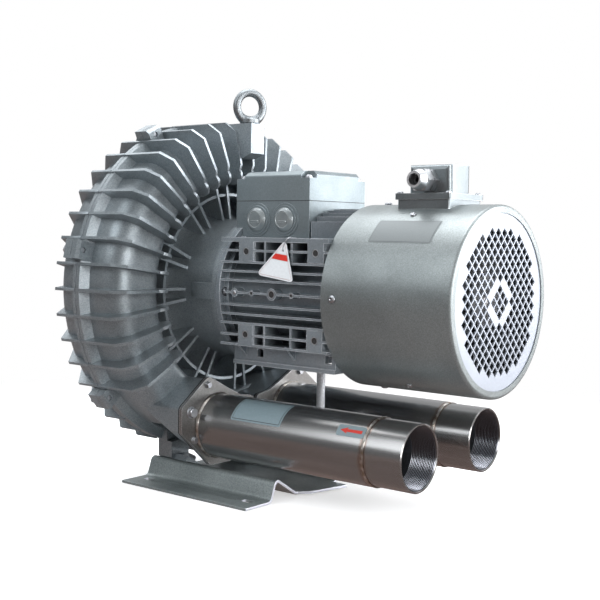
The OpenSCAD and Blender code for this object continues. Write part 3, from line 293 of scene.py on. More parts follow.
def makeFloor(spec):
    mesh = bpy.data.meshes.new("floor")
    reach = spec["reach"]
    mesh.from_pydata([(-reach, -reach, 0), (reach, -reach, 0), (reach, reach, 0), (-reach, reach, 0)],
        [], [(0, 1, 2, 3)])
    floor = bpy.data.objects.new("floor", mesh)
    bpy.context.scene.collection.objects.link(floor)
    floor.location.z = startBox[0].z - spec["drop"]
    mat = bpy.data.materials.new("paleFloor")
    mat.use_nodes = True
    f = Nodes(mat.node_tree)
    f.tree.nodes.clear()
    path = f.node("ShaderNodeLightPath")
    diffuse = f.node("ShaderNodeBsdfDiffuse")
    diffuse.inputs["Color"].default_value = (*spec["colour"], 1)
    dark, glow = (f.glowing("ShaderNodeEmission", strength=power) for power in (0, spec["glow"]))
    add = f.node("ShaderNodeAddShader")
    f.link(diffuse.outputs[0], add.inputs[0])
    f.link(f.choose(path.outputs["Is Camera Ray"], dark, glow).outputs[0], add.inputs[1])
    # painted brown reflection: glossy rays see the floor glow brown
    paintedBrownReflection = f.glowing("ShaderNodeEmission", spec["paintedBrownReflection"])
    shiny = f.choose(path.outputs["Is Glossy Ray"], add, paintedBrownReflection)
    # far off, the camera sees the same white as behind the object
    geometry = f.node("ShaderNodeNewGeometry")
    away = f.node("ShaderNodeVectorMath", operation="LENGTH")
    f.link(geometry.outputs["Position"], away.inputs[0])
    fade = f.spread(away.outputs["Value"], 0.0, 1.0, *spec["fade"])
    fade.node.interpolation_type = "SMOOTHSTEP"
    seen = f.maths("MULTIPLY", fade, path.outputs["Is Camera Ray"])
    blend = f.choose(seen, shiny, f.glowing("ShaderNodeEmission"))
    out = f.node("ShaderNodeOutputMaterial")
    f.link(blend.outputs[0], out.inputs["Surface"])
    mesh.materials.append(mat)


makeCamera(cameraSpec)
makeWorld(studioSpec)
for lampName, lampSpec in studioSpec["lamps"].items():
    makeLamp(lampName, lampSpec, Vector((studioSpec["aimX"], 0, shaftZ)))
makeFloor(floorSpec)
bpy.context.scene.view_settings.view_transform = "Standard"
print("camera, lamps and floor ready")


# finishes

lacquerSpec = {"cloud": 9, "flake": 800, "glint": 0.20, "patchWearAndHighlight": 40, "clouding": 30, "peelDepth": 0.0006}
# edge colours are for lighter edges, partly wear and partly painted highlight
paintSpecs = {
    "cast_casing": {
        "colour": (0.232, 0.265, 0.284), "light": (0.315, 0.350, 0.374), "metal": 0.72, "glint": 0.22,
        "rough": (0.36, 0.50), "grain": 900, "bump": 0.16, "edge": (0.40, 0.44, 0.50), "edgeR": 0.0006},
    "cast_aluminium": {
        "colour": (0.46, 0.47, 0.48), "light": (0.56, 0.57, 0.58), "metal": 1.0,
        "rough": (0.35, 0.5), "grain": 700, "bump": 0.15},
    "motor_paint": {
        "colour": (0.190, 0.217, 0.240), "light": (0.270, 0.302, 0.328), "metal": 0.60, "glint": 0.16,
        "rough": (0.38, 0.54), "grain": 1000, "bump": 0.12, "edge": (0.90, 0.94, 1.0), "edgeR": 0.0013},
    "box_paint": {
        "colour": (0.195, 0.232, 0.248), "light": (0.250, 0.289, 0.306), "metal": 0.60, "glint": 0.10,
        "rough": (0.32, 0.44), "grain": 1400, "bump": 0.07, "edge": (0.56, 0.61, 0.66), "edgeR": 0.0010},
    "cowl_paint": {
        "colour": (0.208, 0.232, 0.236), "light": (0.268, 0.296, 0.300), "metal": 0.74, "glint": 0.24,
        "flake": 1250, "rough": (0.33, 0.44), "grain": 1100, "bump": 0.14},
    "grille_paint": {
        "colour": (0.335, 0.365, 0.42), "light": (0.385, 0.415, 0.47), "metal": 0.30, "glint": 0.06,
        "rough": (0.32, 0.44), "grain": 1500, "bump": 0.04},
    "base_paint": {
        "colour": (0.225, 0.260, 0.264), "light": (0.310, 0.348, 0.352), "metal": 0.50, "glint": 0.26,
        "rough": (0.34, 0.50), "grain": 800, "bump": 0.20, "edge": (0.64, 0.69, 0.74), "edgeR": 0.0014,
        # painted highlight on faces along X
        "sheared": (0.78, 0.81, 0.90)},
    "plateSteel": {
        "colour": (0.215, 0.214, 0.210), "light": (0.300, 0.298, 0.292), "metal": 0.85,
        "rough": (0.30, 0.44), "grain": 1100, "bump": 0.05, "edge": (0.86, 0.87, 0.92), "edgeR": 0.0009},
    "rodPaint": {
        "colour": (0.55, 0.57, 0.60), "light": (0.62, 0.64, 0.67), "metal": 0.5,
        "rough": (0.38, 0.5), "grain": 900, "bump": 0.04},
    "junctionPaint": {
        "colour": (0.175, 0.198, 0.210), "light": (0.225, 0.250, 0.262), "metal": 0.86, "glint": 0.10,
        "rough": (0.30, 0.40), "grain": 1400, "bump": 0.06, "edge": (0.72, 0.76, 0.80), "edgeR": 0.0010},
}


def metalPaint(name, spec):
    # metallic lacquer: cloudy tone, fine flakes, orange peel, lighter edges that are partly wear and partly
    # painted highlight
    f = Finish(name)
    cloud = f.noise(lacquerSpec["cloud"], 3)
    colour = f.ramp(cloud, [(0.3, spec["colour"]), (0.7, spec["light"])])
    flakes = f.cells(spec.get("flake", lacquerSpec["flake"]))
    flakeTone = f.node("ShaderNodeRGBToBW")
    f.link(flakes, flakeTone.inputs[0])
    glint = spec.get("glint", lacquerSpec["glint"])
    sparkle = f.spread(flakeTone.outputs[0], 1 - glint, 1 + glint)
    sparkleColour = f.node("ShaderNodeCombineColor")
    for i in range(3):
        f.link(sparkle, sparkleColour.inputs[i])
    colour = f.mix(1.0, colour, sparkleColour.outputs[0], "MULTIPLY")
    # lighter edges: partly wear, partly a painted highlight
    if "edge" in spec:
        patches = f.spread(f.noise(lacquerSpec["patchWearAndHighlight"], 2), 0.45, 1.0, 0.3, 0.6)
        edgeWearAndHighlight = f.maths("MULTIPLY", f.edges(spec["edgeR"]), patches)
        colour = f.mix(edgeWearAndHighlight, colour, spec["edge"])
    if "sheared" in spec:
        # painted highlight: faces along X, the cut ends of the sheet among them, are made lighter
        geometry = f.node("ShaderNodeNewGeometry")
        split = f.node("ShaderNodeSeparateXYZ")
        f.link(geometry.outputs["Normal"], split.inputs[0])
        cut = f.spread(f.maths("ABSOLUTE", split.outputs["X"]), 0.0, 0.9, 0.55, 0.85)
        colour = f.mix(cut, colour, spec["sheared"])
    rough = f.spread(f.noise(lacquerSpec["clouding"], 4), *spec["rough"], 0.3, 0.7)
    peel = f.noise(spec["grain"], 2)
    f.set(Base_Color=colour, Metallic=spec["metal"], Roughness=rough,
        Normal=f.bump(peel, spec["bump"], lacquerSpec["peelDepth"]))
    return f.mat


scratchSpec = {"cloud": 60, "scale": 400, "along": (0.08, 1, 1), "bump": 0.05, "depth": 0.0004}
steelSpecs = {
    "zinc_steel": {"colour": (0.56, 0.58, 0.61), "dull": (0.44, 0.46, 0.49), "rough": (0.36, 0.48)},
    "forgedEye": {
        "colour": (0.275, 0.300, 0.315), "dull": (0.225, 0.246, 0.260), "rough": (0.42, 0.52)},
    "bearing_steel": {"colour": (0.55, 0.55, 0.56), "dull": (0.45, 0.45, 0.46), "rough": (0.2, 0.3)},
    "nickel_brass": {"colour": (0.72, 0.74, 0.76), "dull": (0.60, 0.61, 0.63), "rough": (0.32, 0.42)},
    "lamination": {"colour": (0.20, 0.20, 0.21), "dull": (0.15, 0.15, 0.16), "rough": (0.4, 0.55)},
    "copper_winding": {"colour": (0.45, 0.19, 0.07), "dull": (0.33, 0.13, 0.05), "rough": (0.25, 0.4)},
}


def plainMetal(name, spec):
    f = Finish(name)
    cloud = f.noise(scratchSpec["cloud"], 4)
    scratches = f.noise(scratchSpec["scale"], 3, f.stretched(scratchSpec["along"]))
    colour = f.ramp(cloud, [(0.35, spec["dull"]), (0.6, spec["colour"])])
    f.set(Base_Color=colour, Metallic=1.0, Roughness=f.spread(scratches, *spec["rough"], 0.3, 0.7),
        Normal=f.bump(scratches, scratchSpec["bump"], scratchSpec["depth"]))
    return f.mat


pipeSpec = {
    "bright": (0.40, 0.40, 0.40),
    "mid": (0.31, 0.31, 0.31),
    "dark": (0.23, 0.23, 0.23),
    "tint": (0.26, 0.16, 0.11),
    "tintReach": (0.003, 0.0062),  # from the middle of the weld
    "tintShare": 0.55,
    "tintWobble": 0.003,
    "metal": 0.93,
    "rough": (0.18, 0.25),
    "rings": (420, 0.02),  # how fine they are, and their stretch round the tube
    "polishAndReflectionStreaks": (30, 0.06),  # the same, but along it
    # painted shade in the bore and the thread grooves
    "paintedBoreShade": (0.070, 0.073, 0.083),
    "bore": socketR - 0.0030,
    "boreEdge": 0.0003,
    "crest": socketR - 0.0046,
    "crestEdge": 0.0005,
    "crestColour": (0.25, 0.26, 0.29),
}


def pipeSteel(name, spec, weldX, threaded=False):
    # polished tube: long streaks, partly polish and partly painted reflection, faint rings of polish, brown
    # heat tint beside the weld, painted shade in the bore
    f = Finish(name)
    scale, along = spec["polishAndReflectionStreaks"]
    polishAndReflectionStreaks = f.noise(scale, 4, f.stretched((along, 1, 1)))
    scale, around = spec["rings"]
    rings = f.noise(scale, 2, f.stretched((1, around, around)))
    # the streaks are partly polish and partly a painted reflection of dark surroundings
    colour = f.ramp(polishAndReflectionStreaks, [(0.30, spec["dark"]), (0.45, spec["mid"]), (0.66, spec["bright"])])
    split = f.node("ShaderNodeSeparateXYZ")
    f.link(f.coord.outputs["Object"], split.inputs[0])
    near = f.maths("ABSOLUTE", f.maths("SUBTRACT", split.outputs["X"], weldX))
    wobble = f.maths("ADD", near, f.spread(f.noise(60, 2), -spec["tintWobble"], spec["tintWobble"]))
    heat = f.spread(wobble, spec["tintShare"], 0.0, *spec["tintReach"])
    colour = f.mix(heat, colour, spec["tint"])
    offAxis = f.node("ShaderNodeCombineXYZ")
    f.link(f.maths("SUBTRACT", f.maths("ABSOLUTE", split.outputs["Y"]), abs(pipeY)), offAxis.inputs[0])
    f.link(f.maths("SUBTRACT", split.outputs["Z"], pipeZ), offAxis.inputs[1])
    away = f.node("ShaderNodeVectorMath", operation="LENGTH")
    f.link(offAxis.outputs[0], away.inputs[0])
    # painted shade: the bore is darkened as if in shadow
    bore, soft = spec["bore"], spec["boreEdge"]
    paintedBoreShade = f.spread(away.outputs["Value"], 1.0, 0.0, bore - soft, bore + soft)
    colour = f.mix(paintedBoreShade, colour, spec["paintedBoreShade"])
    if threaded:
        # the thread crests get a mid tone over the painted shade
        crest = spec["crest"]
        crests = f.spread(away.outputs["Value"], 1.0, 0.0, crest, crest + spec["crestEdge"])
        colour = f.mix(crests, colour, spec["crestColour"])
    f.set(Base_Color=colour, Metallic=spec["metal"], Roughness=f.spread(polishAndReflectionStreaks, *spec["rough"], 0.3, 0.7),
        Normal=f.bump(rings, 0.004, 0.0003))
    return f.mat


softSpecs = {  # colour, lighter colour, roughness and grain
    "gasket": ((0.020, 0.020, 0.022), (0.035, 0.035, 0.037), 0.75, 500),
    "seal_rubber": ((0.015, 0.015, 0.015), (0.03, 0.03, 0.03), 0.5, 600),
    "foam": ((0.035, 0.035, 0.038), (0.07, 0.07, 0.072), 0.95, 420),
    "board_plastic": ((0.38, 0.27, 0.12), (0.46, 0.33, 0.16), 0.5, 300),
    "motor_black": ((0.018, 0.018, 0.020), (0.035, 0.035, 0.038), 0.4, 500),
    "fan_plastic": ((0.030, 0.032, 0.036), (0.055, 0.058, 0.062), 0.42, 300),
}


def softFinish(name, spec):
    colour, light, rough, scale = spec
    f = Finish(name)
    grain = f.noise(scale, 4)
    f.set(Base_Color=f.ramp(grain, [(0.3, colour), (0.7, light)]),
        Roughness=f.spread(grain, rough - 0.08, min(1, rough + 0.08)),
        Normal=f.bump(grain, 0.25, 0.0005))
    return f.mat


finishes = {}
for make, specs in ((metalPaint, paintSpecs), (plainMetal, steelSpecs), (softFinish, softSpecs)):
    for slotName, spec in specs.items():
        finishes[slotName] = make(slotName, spec)
finishes["stainless"] = pipeSteel("stainless", pipeSpec, socketLow.x)
finishes["socketSteel"] = pipeSteel("socketSteel", pipeSpec, socketLow.x, threaded=True)
ownFinishes = {
    "inlet_flange": "plateSteel", "outlet_flange": "plateSteel", "support_rod": "rodPaint",
    "junction_box": "junctionPaint", "junction_cover": "junctionPaint",
}

for part in record["subparts"]:
    thing = nodes[part["node"]]
    thing.data.materials.clear()
    thing.data.materials.append(finishes[ownFinishes.get(part["node"], part["material_slot"])])
print("finishes on", len(record["subparts"]), "nodes")


def smoothTools(angle):
    # shades faces smooth except across edges sharper than the angle
    tree = bpy.data.node_groups.new("smoothByAngle", "GeometryNodeTree")
    tree.interface.new_socket("Geometry", in_out="INPUT", socket_type="NodeSocketGeometry")
    tree.interface.new_socket("Geometry", in_out="OUTPUT", socket_type="NodeSocketGeometry")
    f = Nodes(tree)
    start, end = f.node("NodeGroupInput"), f.node("NodeGroupOutput")
    edge = f.node("GeometryNodeInputMeshEdgeAngle")
    test = f.node("FunctionNodeCompare", operation="LESS_THAN")
    test.inputs["B"].default_value = math.radians(angle)
    f.link(edge.outputs["Unsigned Angle"], test.inputs["A"])
    faces = f.node("GeometryNodeSetShadeSmooth")
    edges = f.node("GeometryNodeSetShadeSmooth", domain="EDGE")
    f.link(start.outputs[0], faces.inputs["Geometry"])
    f.link(faces.outputs[0], edges.inputs["Geometry"])
    f.link(test.outputs[0], edges.inputs["Shade Smooth"])
    f.link(edges.outputs[0], end.inputs[0])
    return tree


smoothSpec = {
    "angle": 32,
    "skip": ("grille_disc",),
    "plain": ("front_casing", "rear_cover", "fan_cowl"),
    "weld": 0.000002,
    "bevelAngle": 38,
}
bevelSpecs = {  # width and segments
    "terminal_box": (0.0012, 3), "terminal_lid": (0.0012, 3), "junction_cover": (0.0026, 4),
    "junction_box": (0.0009, 2), "base_plate": (0.0008, 2), "inlet_flange": (0.0006, 2),
    "outlet_flange": (0.0006, 2), "support_rod": (0.0004, 2), "front_casing": (0.0005, 1),
    "rear_cover": (0.0005, 1), "stator_housing": (0.0004, 1), "rear_shield": (0.0006, 1),
    "drive_shield": (0.0006, 1),
}


def softenNodes():
    # the paint film rounds every machined corner a little
    tree = smoothTools(smoothSpec["angle"])
    for name, thing in nodes.items():
        if name in bevelSpecs:
            width, segments = bevelSpecs[name]
            weld = thing.modifiers.new("weld", "WELD")
            weld.merge_threshold = smoothSpec["weld"]
            bevel = thing.modifiers.new("edges", "BEVEL")
            bevel.width = width
            bevel.segments = segments
            bevel.limit_method = "ANGLE"
            bevel.angle_limit = math.radians(smoothSpec["bevelAngle"])
            bevel.use_clamp_overlap = True
        if name not in smoothSpec["skip"]:
            smooth = thing.modifiers.new("smooth", "NODES")
            smooth.node_group = tree
            if name not in smoothSpec["plain"]:
                even = thing.modifiers.new("even", "WEIGHTED_NORMAL")
                even.keep_sharp = True


softenNodes()
print("edges softened")


# small mesh tools

def angles(steps):
    return [2 * math.pi * k / steps for k in range(steps)]


def circle(steps):
    return [(math.cos(a), math.sin(a)) for a in angles(steps)]


def frameOf(axis):
    along = Vector(axis).normalized()
    side = along.orthogonal().normalized()
    return along, side, along.cross(side)


def bridge(bm, a, b):
    # faces between two closed rows of corners
    for k in range(len(a)):
        n = (k + 1) % len(a)
        bm.faces.new((a[k], a[n], b[n], b[k]))


def finishMesh(name, bm, finish, sharp=30, node=None, close=1e-7):
    # ends a mesh and makes its piece, whose slot is its finish
    bmesh.ops.remove_doubles(bm, verts=bm.verts, dist=close)
    bmesh.ops.recalc_face_normals(bm, faces=bm.faces)
    mesh = bpy.data.meshes.new(name)
    bm.to_mesh(mesh)
    bm.free()
    mesh.materials.append(finishes[finish])
    for face in mesh.polygons:
        face.use_smooth = True
    mesh.set_sharp_from_angle(angle=math.radians(sharp))
    piece = bpy.data.objects.new(name, mesh)
    bpy.context.scene.collection.objects.link(piece)
    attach(piece, "stator")
    if node:
        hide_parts(node)


def turned(name, profile, place, steps, finish, wobble=0.0, sharp=35, node=None):
    # a closed profile of (distance along X, radius) turned round X
    bm = bmesh.new()
    along, side, other = frameOf((1, 0, 0))
    rings = []
    for c, s in circle(steps):
        ring = []
        for x, r in profile:
            lump = wobble * noise.noise(Vector((x * 300, c * 9, s * 9)))
            ring.append(bm.verts.new(Vector(place) + along * x + (side * c + other * s) * (r + lump)))
        rings.append(ring)
    for k in range(steps):
        bridge(bm, rings[k - 1], rings[k])
    finishMesh(name, bm, finish, sharp, node, 1e-6)


def bandProfile(x0, x1, r, height, points=9):
    # low rounded band on a surface of radius r
    return [(x0 + (x1 - x0) * i / (points - 1), r + height * math.sin(math.pi * i / (points - 1)))
        for i in range(points)] + [((x0 + x1) / 2, r - height)]


# threads and welds of the pipes

socketSpec = {
    "wall": 0.0047,  # from the outside to the crests of the thread
    "pitch": 0.00231,
    "depth": 0.00135,
    "crests": (0.42, 0.58),  # where a crest begins and ends, in shares of the pitch
    "crestLift": 0.0001,
    "chamfer": 0.0010,
    "backChamfer": 0.0012,
    "lead": 0.0012,  # how far the mouth opens past the thread
    "firstTurn": 0.0016,  # from the open end
    "lastTurn": 0.020,  # from the welded end
    "steps": 96,
}


def threadedSocket(name, node, y, spec):
    low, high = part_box(node)
    outer = (high.z - low.z) / 2
    core = outer - spec["wall"]
    groove = core + spec["depth"]
    cut, back = spec["chamfer"], spec["backChamfer"]
    profile = [(low.x, core), (low.x, outer - cut), (low.x + back, outer), (high.x - cut, outer),
        (high.x, outer - cut), (high.x, groove + spec["lead"])]
    x = high.x - spec["firstTurn"]
    while x > low.x + spec["lastTurn"]:
        profile.append((x, groove))
        profile += [(x - share * spec["pitch"], core + spec["crestLift"]) for share in spec["crests"]]
        x -= spec["pitch"]
    profile.append((x, core))
    turned(name, profile, (0, y, pipeZ), spec["steps"], "socketSteel", sharp=25, node=node)


weldSpec = {
    "socket": (0.0050, 0.0011),  # width and height of the bead
    "neck": (0.0055, 0.0016),
    "socketLift": 0.0006,  # over the socket's radius
    "neckOff": 0.0024,  # from the flange's face
    "wobble": 0.5,  # share of the height
    "steps": 160,
    "dark": (0.30, 0.24, 0.19),
    "bright": (0.72, 0.70, 0.68),
}


def weldBead(name, x, y, r, size):
    width, height = size
    turned(name, bandProfile(x - width / 2, x + width / 2, r, height), (0, y, pipeZ), weldSpec["steps"],
        "weld", wobble=height * weldSpec["wobble"])


def weldFinish(spec):
    f = Finish("weldBead")
    cloud = f.noise(130, 4)
    f.set(Base_Color=f.ramp(cloud, [(0.35, spec["dark"]), (0.65, spec["bright"])]), Metallic=1.0,
        Roughness=f.spread(cloud, 0.25, 0.45), Normal=f.bump(f.noise(500, 3), 0.4, 0.0008))
    return f.mat


finishes["weld"] = weldFinish(weldSpec)
for side, word in ((1, "inlet"), (-1, "outlet")):
    y = pipeY * side
    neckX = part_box("inlet_flange")[1].x + weldSpec["neckOff"]
    threadedSocket(word + "SocketThreaded", word + "_socket", y, socketSpec)
    weldBead(word + "SocketWeld", socketLow.x, y, socketR + weldSpec["socketLift"], weldSpec["socket"])
    weldBead(word + "NeckWeld", neckX, y, tubeR, weldSpec["neck"])
print("pipes dressed")


# fasteners

def lathe(bm, profile, place, axis, steps=32):
    # body from a profile of (distance along the axis, radius), first and last radius may be 0
    along, side, other = frameOf(axis)
    rings = []
    for x, r in profile:
        centre = Vector(place) + along * x
        if r < 1e-7:
            rings.append([bm.verts.new(centre)])
        else:
            rings.append([bm.verts.new(centre + side * r * c + other * r * s) for c, s in circle(steps)])
    for lower, upper in zip(rings, rings[1:]):
        for k in range(steps):
            n = (k + 1) % steps
            corners = dict.fromkeys((lower[k % len(lower)], lower[n % len(lower)],
                upper[n % len(upper)], upper[k % len(upper)]))
            if len(corners) > 2:
                bm.faces.new(list(corners))


def rod(bm, place, axis, r, start, end, steps):
    lathe(bm, [(start, 0), (start, r), (end, r), (end, 0)], place, axis, steps)


hexSpec = {
    "steps": 24,
    "top": 0.475,  # radius of the turned top, as a share of the flats
    "slope": 0.45,
}


def hexHead(bm, place, axis, flats, height, turn):
    # hexagon with its corners turned off at the top, as a pressed bolt head has
    along, side, other = frameOf(axis)
    inner = flats * hexSpec["top"]
    shoulder = height - (flats / math.sqrt(3) - inner) * hexSpec["slope"]
    rings = []
    for x, limit in ((0, flats), (shoulder, flats), (height, inner)):
        ring = []
        for a in angles(hexSpec["steps"]):
            toFlat = abs(30 - (math.degrees(a) + 30) % 60)
            r = min(flats / 2 / math.cos(math.radians(30 - toFlat)), limit)
            ring.append(bm.verts.new(Vector(place) + along * x + side * r * math.cos(a + turn)
                + other * r * math.sin(a + turn)))
        rings.append(ring)
    for lower, upper in zip(rings, rings[1:]):
        bridge(bm, lower, upper)
    bm.faces.new(list(reversed(rings[0])))
    bm.faces.new(rings[-1])


crossSpec = {
    "dome": [(0, 1), (0.45, 1), (0.8, 0.86), (1, 0.55)],  # shares of the height and the radius
    "arm": 0.42,
    "thick": 0.13,
    "deep": 0.45,
    "taper": 0.6,
}


def crossHead(bm, place, axis, r, height, turn):
    # domed pan head with a sunk cross
    along, side, other = frameOf(axis)
    lathe(bm, [(height * up, r * share) for up, share in crossSpec["dome"]], place, axis, 24)
    arm, thick = r * crossSpec["arm"], r * crossSpec["thick"]
    c, s = math.cos(turn), math.sin(turn)
    u, v = side * c + other * s, other * c - side * s
    outline = [(arm, -thick), (arm, thick), (thick, thick), (thick, arm), (-thick, arm), (-thick, thick),
        (-arm, thick), (-arm, -thick), (-thick, -thick), (-thick, -arm), (thick, -arm), (thick, -thick)]
    top = Vector(place) + along * height
    sunk = top - along * height * crossSpec["deep"]
    rimR = r * crossSpec["dome"][-1][1]
    rim = [bm.verts.new(top + (u * a + v * b) * rimR) for a, b in circle(len(outline))]
    edge = [bm.verts.new(top + u * a + v * b) for a, b in outline]
    floor = [bm.verts.new(sunk + (u * a + v * b) * crossSpec["taper"]) for a, b in outline]
    bridge(bm, rim, edge)
    bridge(bm, edge, floor)
    bm.faces.new(floor)


def washer(bm, place, axis, r, hole, thick):
    soft = thick / 4
    lathe(bm, [(0, hole), (0, r - soft), (soft, r), (thick - soft, r), (thick, r - soft), (thick, hole)],
        place, axis)


def islands(node):
    # the separate solids of a CAD node, each as its list of corner points
    bm = bmesh.new()
    bm.from_mesh(nodes[node].data)
    bmesh.ops.remove_doubles(bm, verts=bm.verts, dist=1e-6)
    seen = set()
    groups = []
    for start in bm.verts:
        if start in seen:
            continue
        stack, group = [start], []
        seen.add(start)
        while stack:
            v = stack.pop()
            group.append(v.co.copy())
            for edge in v.link_edges:
                w = edge.other_vert(v)
                if w not in seen:
                    seen.add(w)
                    stack.append(w)
        groups.append(group)
    bm.free()
    return groups


def limits(points):
    low = Vector([min(p[i] for p in points) for i in range(3)])
    high = Vector([max(p[i] for p in points) for i in range(3)])
    return low, high, (low + high) / 2


flangeBoltSpec = {
    "washer": 0.0015,  # as wide as the CAD bolt
    "lock": 0.0014,
    "lockShare": 0.82,  # these four in shares of the CAD bolt's radius
    "hole": 0.5,
    "flats": 1.55,
    "shank": 1 / 2.1,
    "shankTop": 0.003,
    "turn": 40,
}


def dressFlangeBolts(word, spec):
    bm = bmesh.new()
    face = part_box(word + "_flange")[1].x
    first, second = face + spec["washer"], face + spec["washer"] + spec["lock"]
    for group in islands(word + "_bolts"):
        low, high, (_, y, z) = limits(group)
        r = (high.z - low.z) / 2
        washer(bm, (face, y, z), (1, 0, 0), r, r * spec["hole"], spec["washer"])
        washer(bm, (first, y, z), (1, 0, 0), r * spec["lockShare"], r * spec["hole"], spec["lock"])
        hexHead(bm, (second, y, z), (1, 0, 0), r * spec["flats"], high.x - second, y * spec["turn"])
        rod(bm, (face, y, z), (1, 0, 0), r * spec["shank"], low.x - face, spec["shankTop"], 20)
    finishMesh(word + "BoltsDetailed", bm, "zinc_steel", node=word + "_bolts")


casingBoltSpec = {
    "seat": 0.006,  # from the outer end of the CAD head
    "shank": 0.004,
    "tip": 0.0008,
    "washer": (0.0080, 0.0012),  # radius and thickness
    "head": (0.0128, 0.0048),  # flats and height
}


def dressCasingBolts(spec):
    bm = bmesh.new()
    washerR, thick = spec["washer"]
    r, tip = spec["shank"], spec["tip"]
    for group in islands("casing_bolts"):
        low, high, (_, y, z) = limits(group)
        seat = low.x + spec["seat"]
        long = high.x - seat
        washer(bm, (seat, y, z), (-1, 0, 0), washerR, r, thick)
        hexHead(bm, (seat - thick, y, z), (-1, 0, 0), *spec["head"], math.atan2(z - shaftZ, y))
        lathe(bm, [(0, 0), (0, r), (long - tip, r), (long, r - tip), (long, 0)], (seat, y, z), (1, 0, 0), 24)
    finishMesh("casingBoltsDetailed", bm, "zinc_steel", node="casing_bolts")


motorScrewSpec = {
    "seat": 0.0035,  # from the outer end of the CAD head
    "shank": 0.003,
    "buried": 0.0005,
    "washer": (0.0057, 0.0010),
    "head": (0.0095, 0.0062),
    "turn": 30,
}


def dressMotorScrews(spec):
    # hexagon screws that hold the motor flange to the casing
    bm = bmesh.new()
    washerR, thick = spec["washer"]
    for group in islands("flange_screws"):
        low, high, (_, y, z) = limits(group)
        seat = high.x - spec["seat"]
        washer(bm, (seat, y, z), (1, 0, 0), washerR, spec["shank"], thick)
        hexHead(bm, (seat + thick, y, z), (1, 0, 0), *spec["head"], y * spec["turn"])
        rod(bm, (low.x, y, z), (1, 0, 0), spec["shank"], 0, seat - low.x + spec["buried"], 20)
    finishMesh("flangeScrewsDetailed", bm, "zinc_steel", node="flange_screws")


roundScrewSpec = {
    "cowl_screws": ("cowlScrewsDetailed", 0.0050, 0.0030, None),  # piece, head radius and height, way out
    "spider_screws": ("spiderScrewsDetailed", 0.0040, 0.0025, None),
    "junction_screws": ("junctionScrewsDetailed", 0.0040, 0.0025, (0, 0, 1)),
    "lid_screws": ("lidScrewsDetailed", 0.0050, 0.0040, (0, 0, 1)),
}


def dressRoundScrews(node, name, headR, headH, out):
    # pan screws whose heads point along out, or away from the shaft where out is None
    bm = bmesh.new()
    for group in islands(node):
        centre = limits(group)[2]
        radial = Vector(out or (0, centre.y, centre.z - shaftZ)).normalized()
        reach = max(p.dot(radial) for p in group)
        root = min(p.dot(radial) for p in group)
        onAxis = centre - radial * centre.dot(radial)
        crossHead(bm, onAxis + radial * (reach - headH), radial, headR, headH, centre.x * 50)
        rod(bm, onAxis + radial * root, radial, headR / 2, 0, reach - headH * 0.9 - root, 16)
    finishMesh(name, bm, "zinc_steel", node=node)


for word in ("inlet", "outlet"):
    dressFlangeBolts(word, flangeBoltSpec)
dressMotorScrews(motorScrewSpec)
dressCasingBolts(casingBoltSpec)
for node, row in roundScrewSpec.items():
    dressRoundScrews(node, *row)
print("fasteners dressed")


# conduit plugs, lifting eye

plugSpec = {
    "seat": 0.0030,
    "stem": 0.008,
    "stemShare": 0.76,  # of the plug's radius
    "proud": 0.0054,
    "cone": (0.22, 0.34, 0.94),  # start, soft corner and end, in shares of proud
    "soft": 0.0005,
    "rim": 0.0042,
    "lip": (0.0005, 0.0009, 0.0016),  # further in than the rim
    "dish": 0.0014,
    "bar": (0.0075, 0.0016),  # half its length and half its width
    "barProud": 0.0018,
    "barBase": 0.0002,
    "barLow": 0.003,
    "barTop": 0.75,
    "dark": (0.25, 0.28, 0.29),
    "light": (0.32, 0.35, 0.36),
    # painted highlight colour for the edges
    "edge": (0.72, 0.75, 0.76),
}


def dressPlugs(spec):
    bm = bmesh.new()
    stem, proud, dish, soft = (spec[word] for word in ("stem", "proud", "dish", "soft"))
    start, corner, end = (proud * share for share in spec["cone"])
    for group in islands("conduit_plugs"):
        low, high, (x, _, z) = limits(group)
        r = (high.x - low.x) / 2
        stemR, inner = r * spec["stemShare"], r - spec["rim"]
        lip = [inner - step for step in spec["lip"]]
        seat = low.y + spec["seat"]
        lathe(bm, [(-stem, 0), (-stem, stemR), (0, stemR), (0, r), (start, r), (corner, r - soft),
            (end, inner), (proud, lip[0]), (proud, lip[1]), (proud - dish, lip[2]), (proud - dish, 0)],
            (x, seat, z), (0, -1, 0), 64)
        reach, half = spec["bar"]
        bottom = seat - proud + dish + spec["barBase"]
        top = bottom - spec["barProud"]
        rings = []
        for y, grow in ((bottom, 1.0), (top + soft, 1.0), (top, spec["barTop"])):
            rings.append([bm.verts.new((x + math.copysign(reach - half, c) + half * grow * c, y,
                z - spec["barLow"] + half * grow * s)) for c, s in circle(24)])
        for a, b in zip(rings, rings[1:]):
            bridge(bm, a, b)
        bm.faces.new(rings[-1])
    finishMesh("conduitPlugsDetailed", bm, "plug", node="conduit_plugs")


def plugFinish(spec):
    f = Finish("plugCast")
    cloud = f.noise(90, 3)
    colour = f.ramp(cloud, [(0.3, spec["dark"]), (0.7, spec["light"])])
    # lighter edges: a painted highlight
    colour = f.mix(f.edges(0.0008), colour, spec["edge"])
    f.set(Base_Color=colour, Metallic=0.55, Roughness=f.spread(cloud, 0.25, 0.38),
        Normal=f.bump(f.noise(900, 2), 0.06, 0.0005))
    return f.mat


finishes["plug"] = plugFinish(plugSpec)
dressPlugs(plugSpec)

eyeSpec = {
    "top": 0.0270,  # from the CAD eye's top down to the middle of the ring
    "ringR": 0.0210,
    "wire": 0.0058,
    "neckGrow": 0.0020,
    "turn": 67,
    "steps": 96,
    "collarDown": 0.0250,  # from the middle of the ring
    "collar": [(-0.024, 0), (-0.024, 0.0058), (0, 0.0058), (0, 0.0134), (0.0014, 0.0149), (0.0068, 0.0149),
        (0.0086, 0.0132), (0.0090, 0.0096), (0.0100, 0.0078), (0.0100, 0)],
}


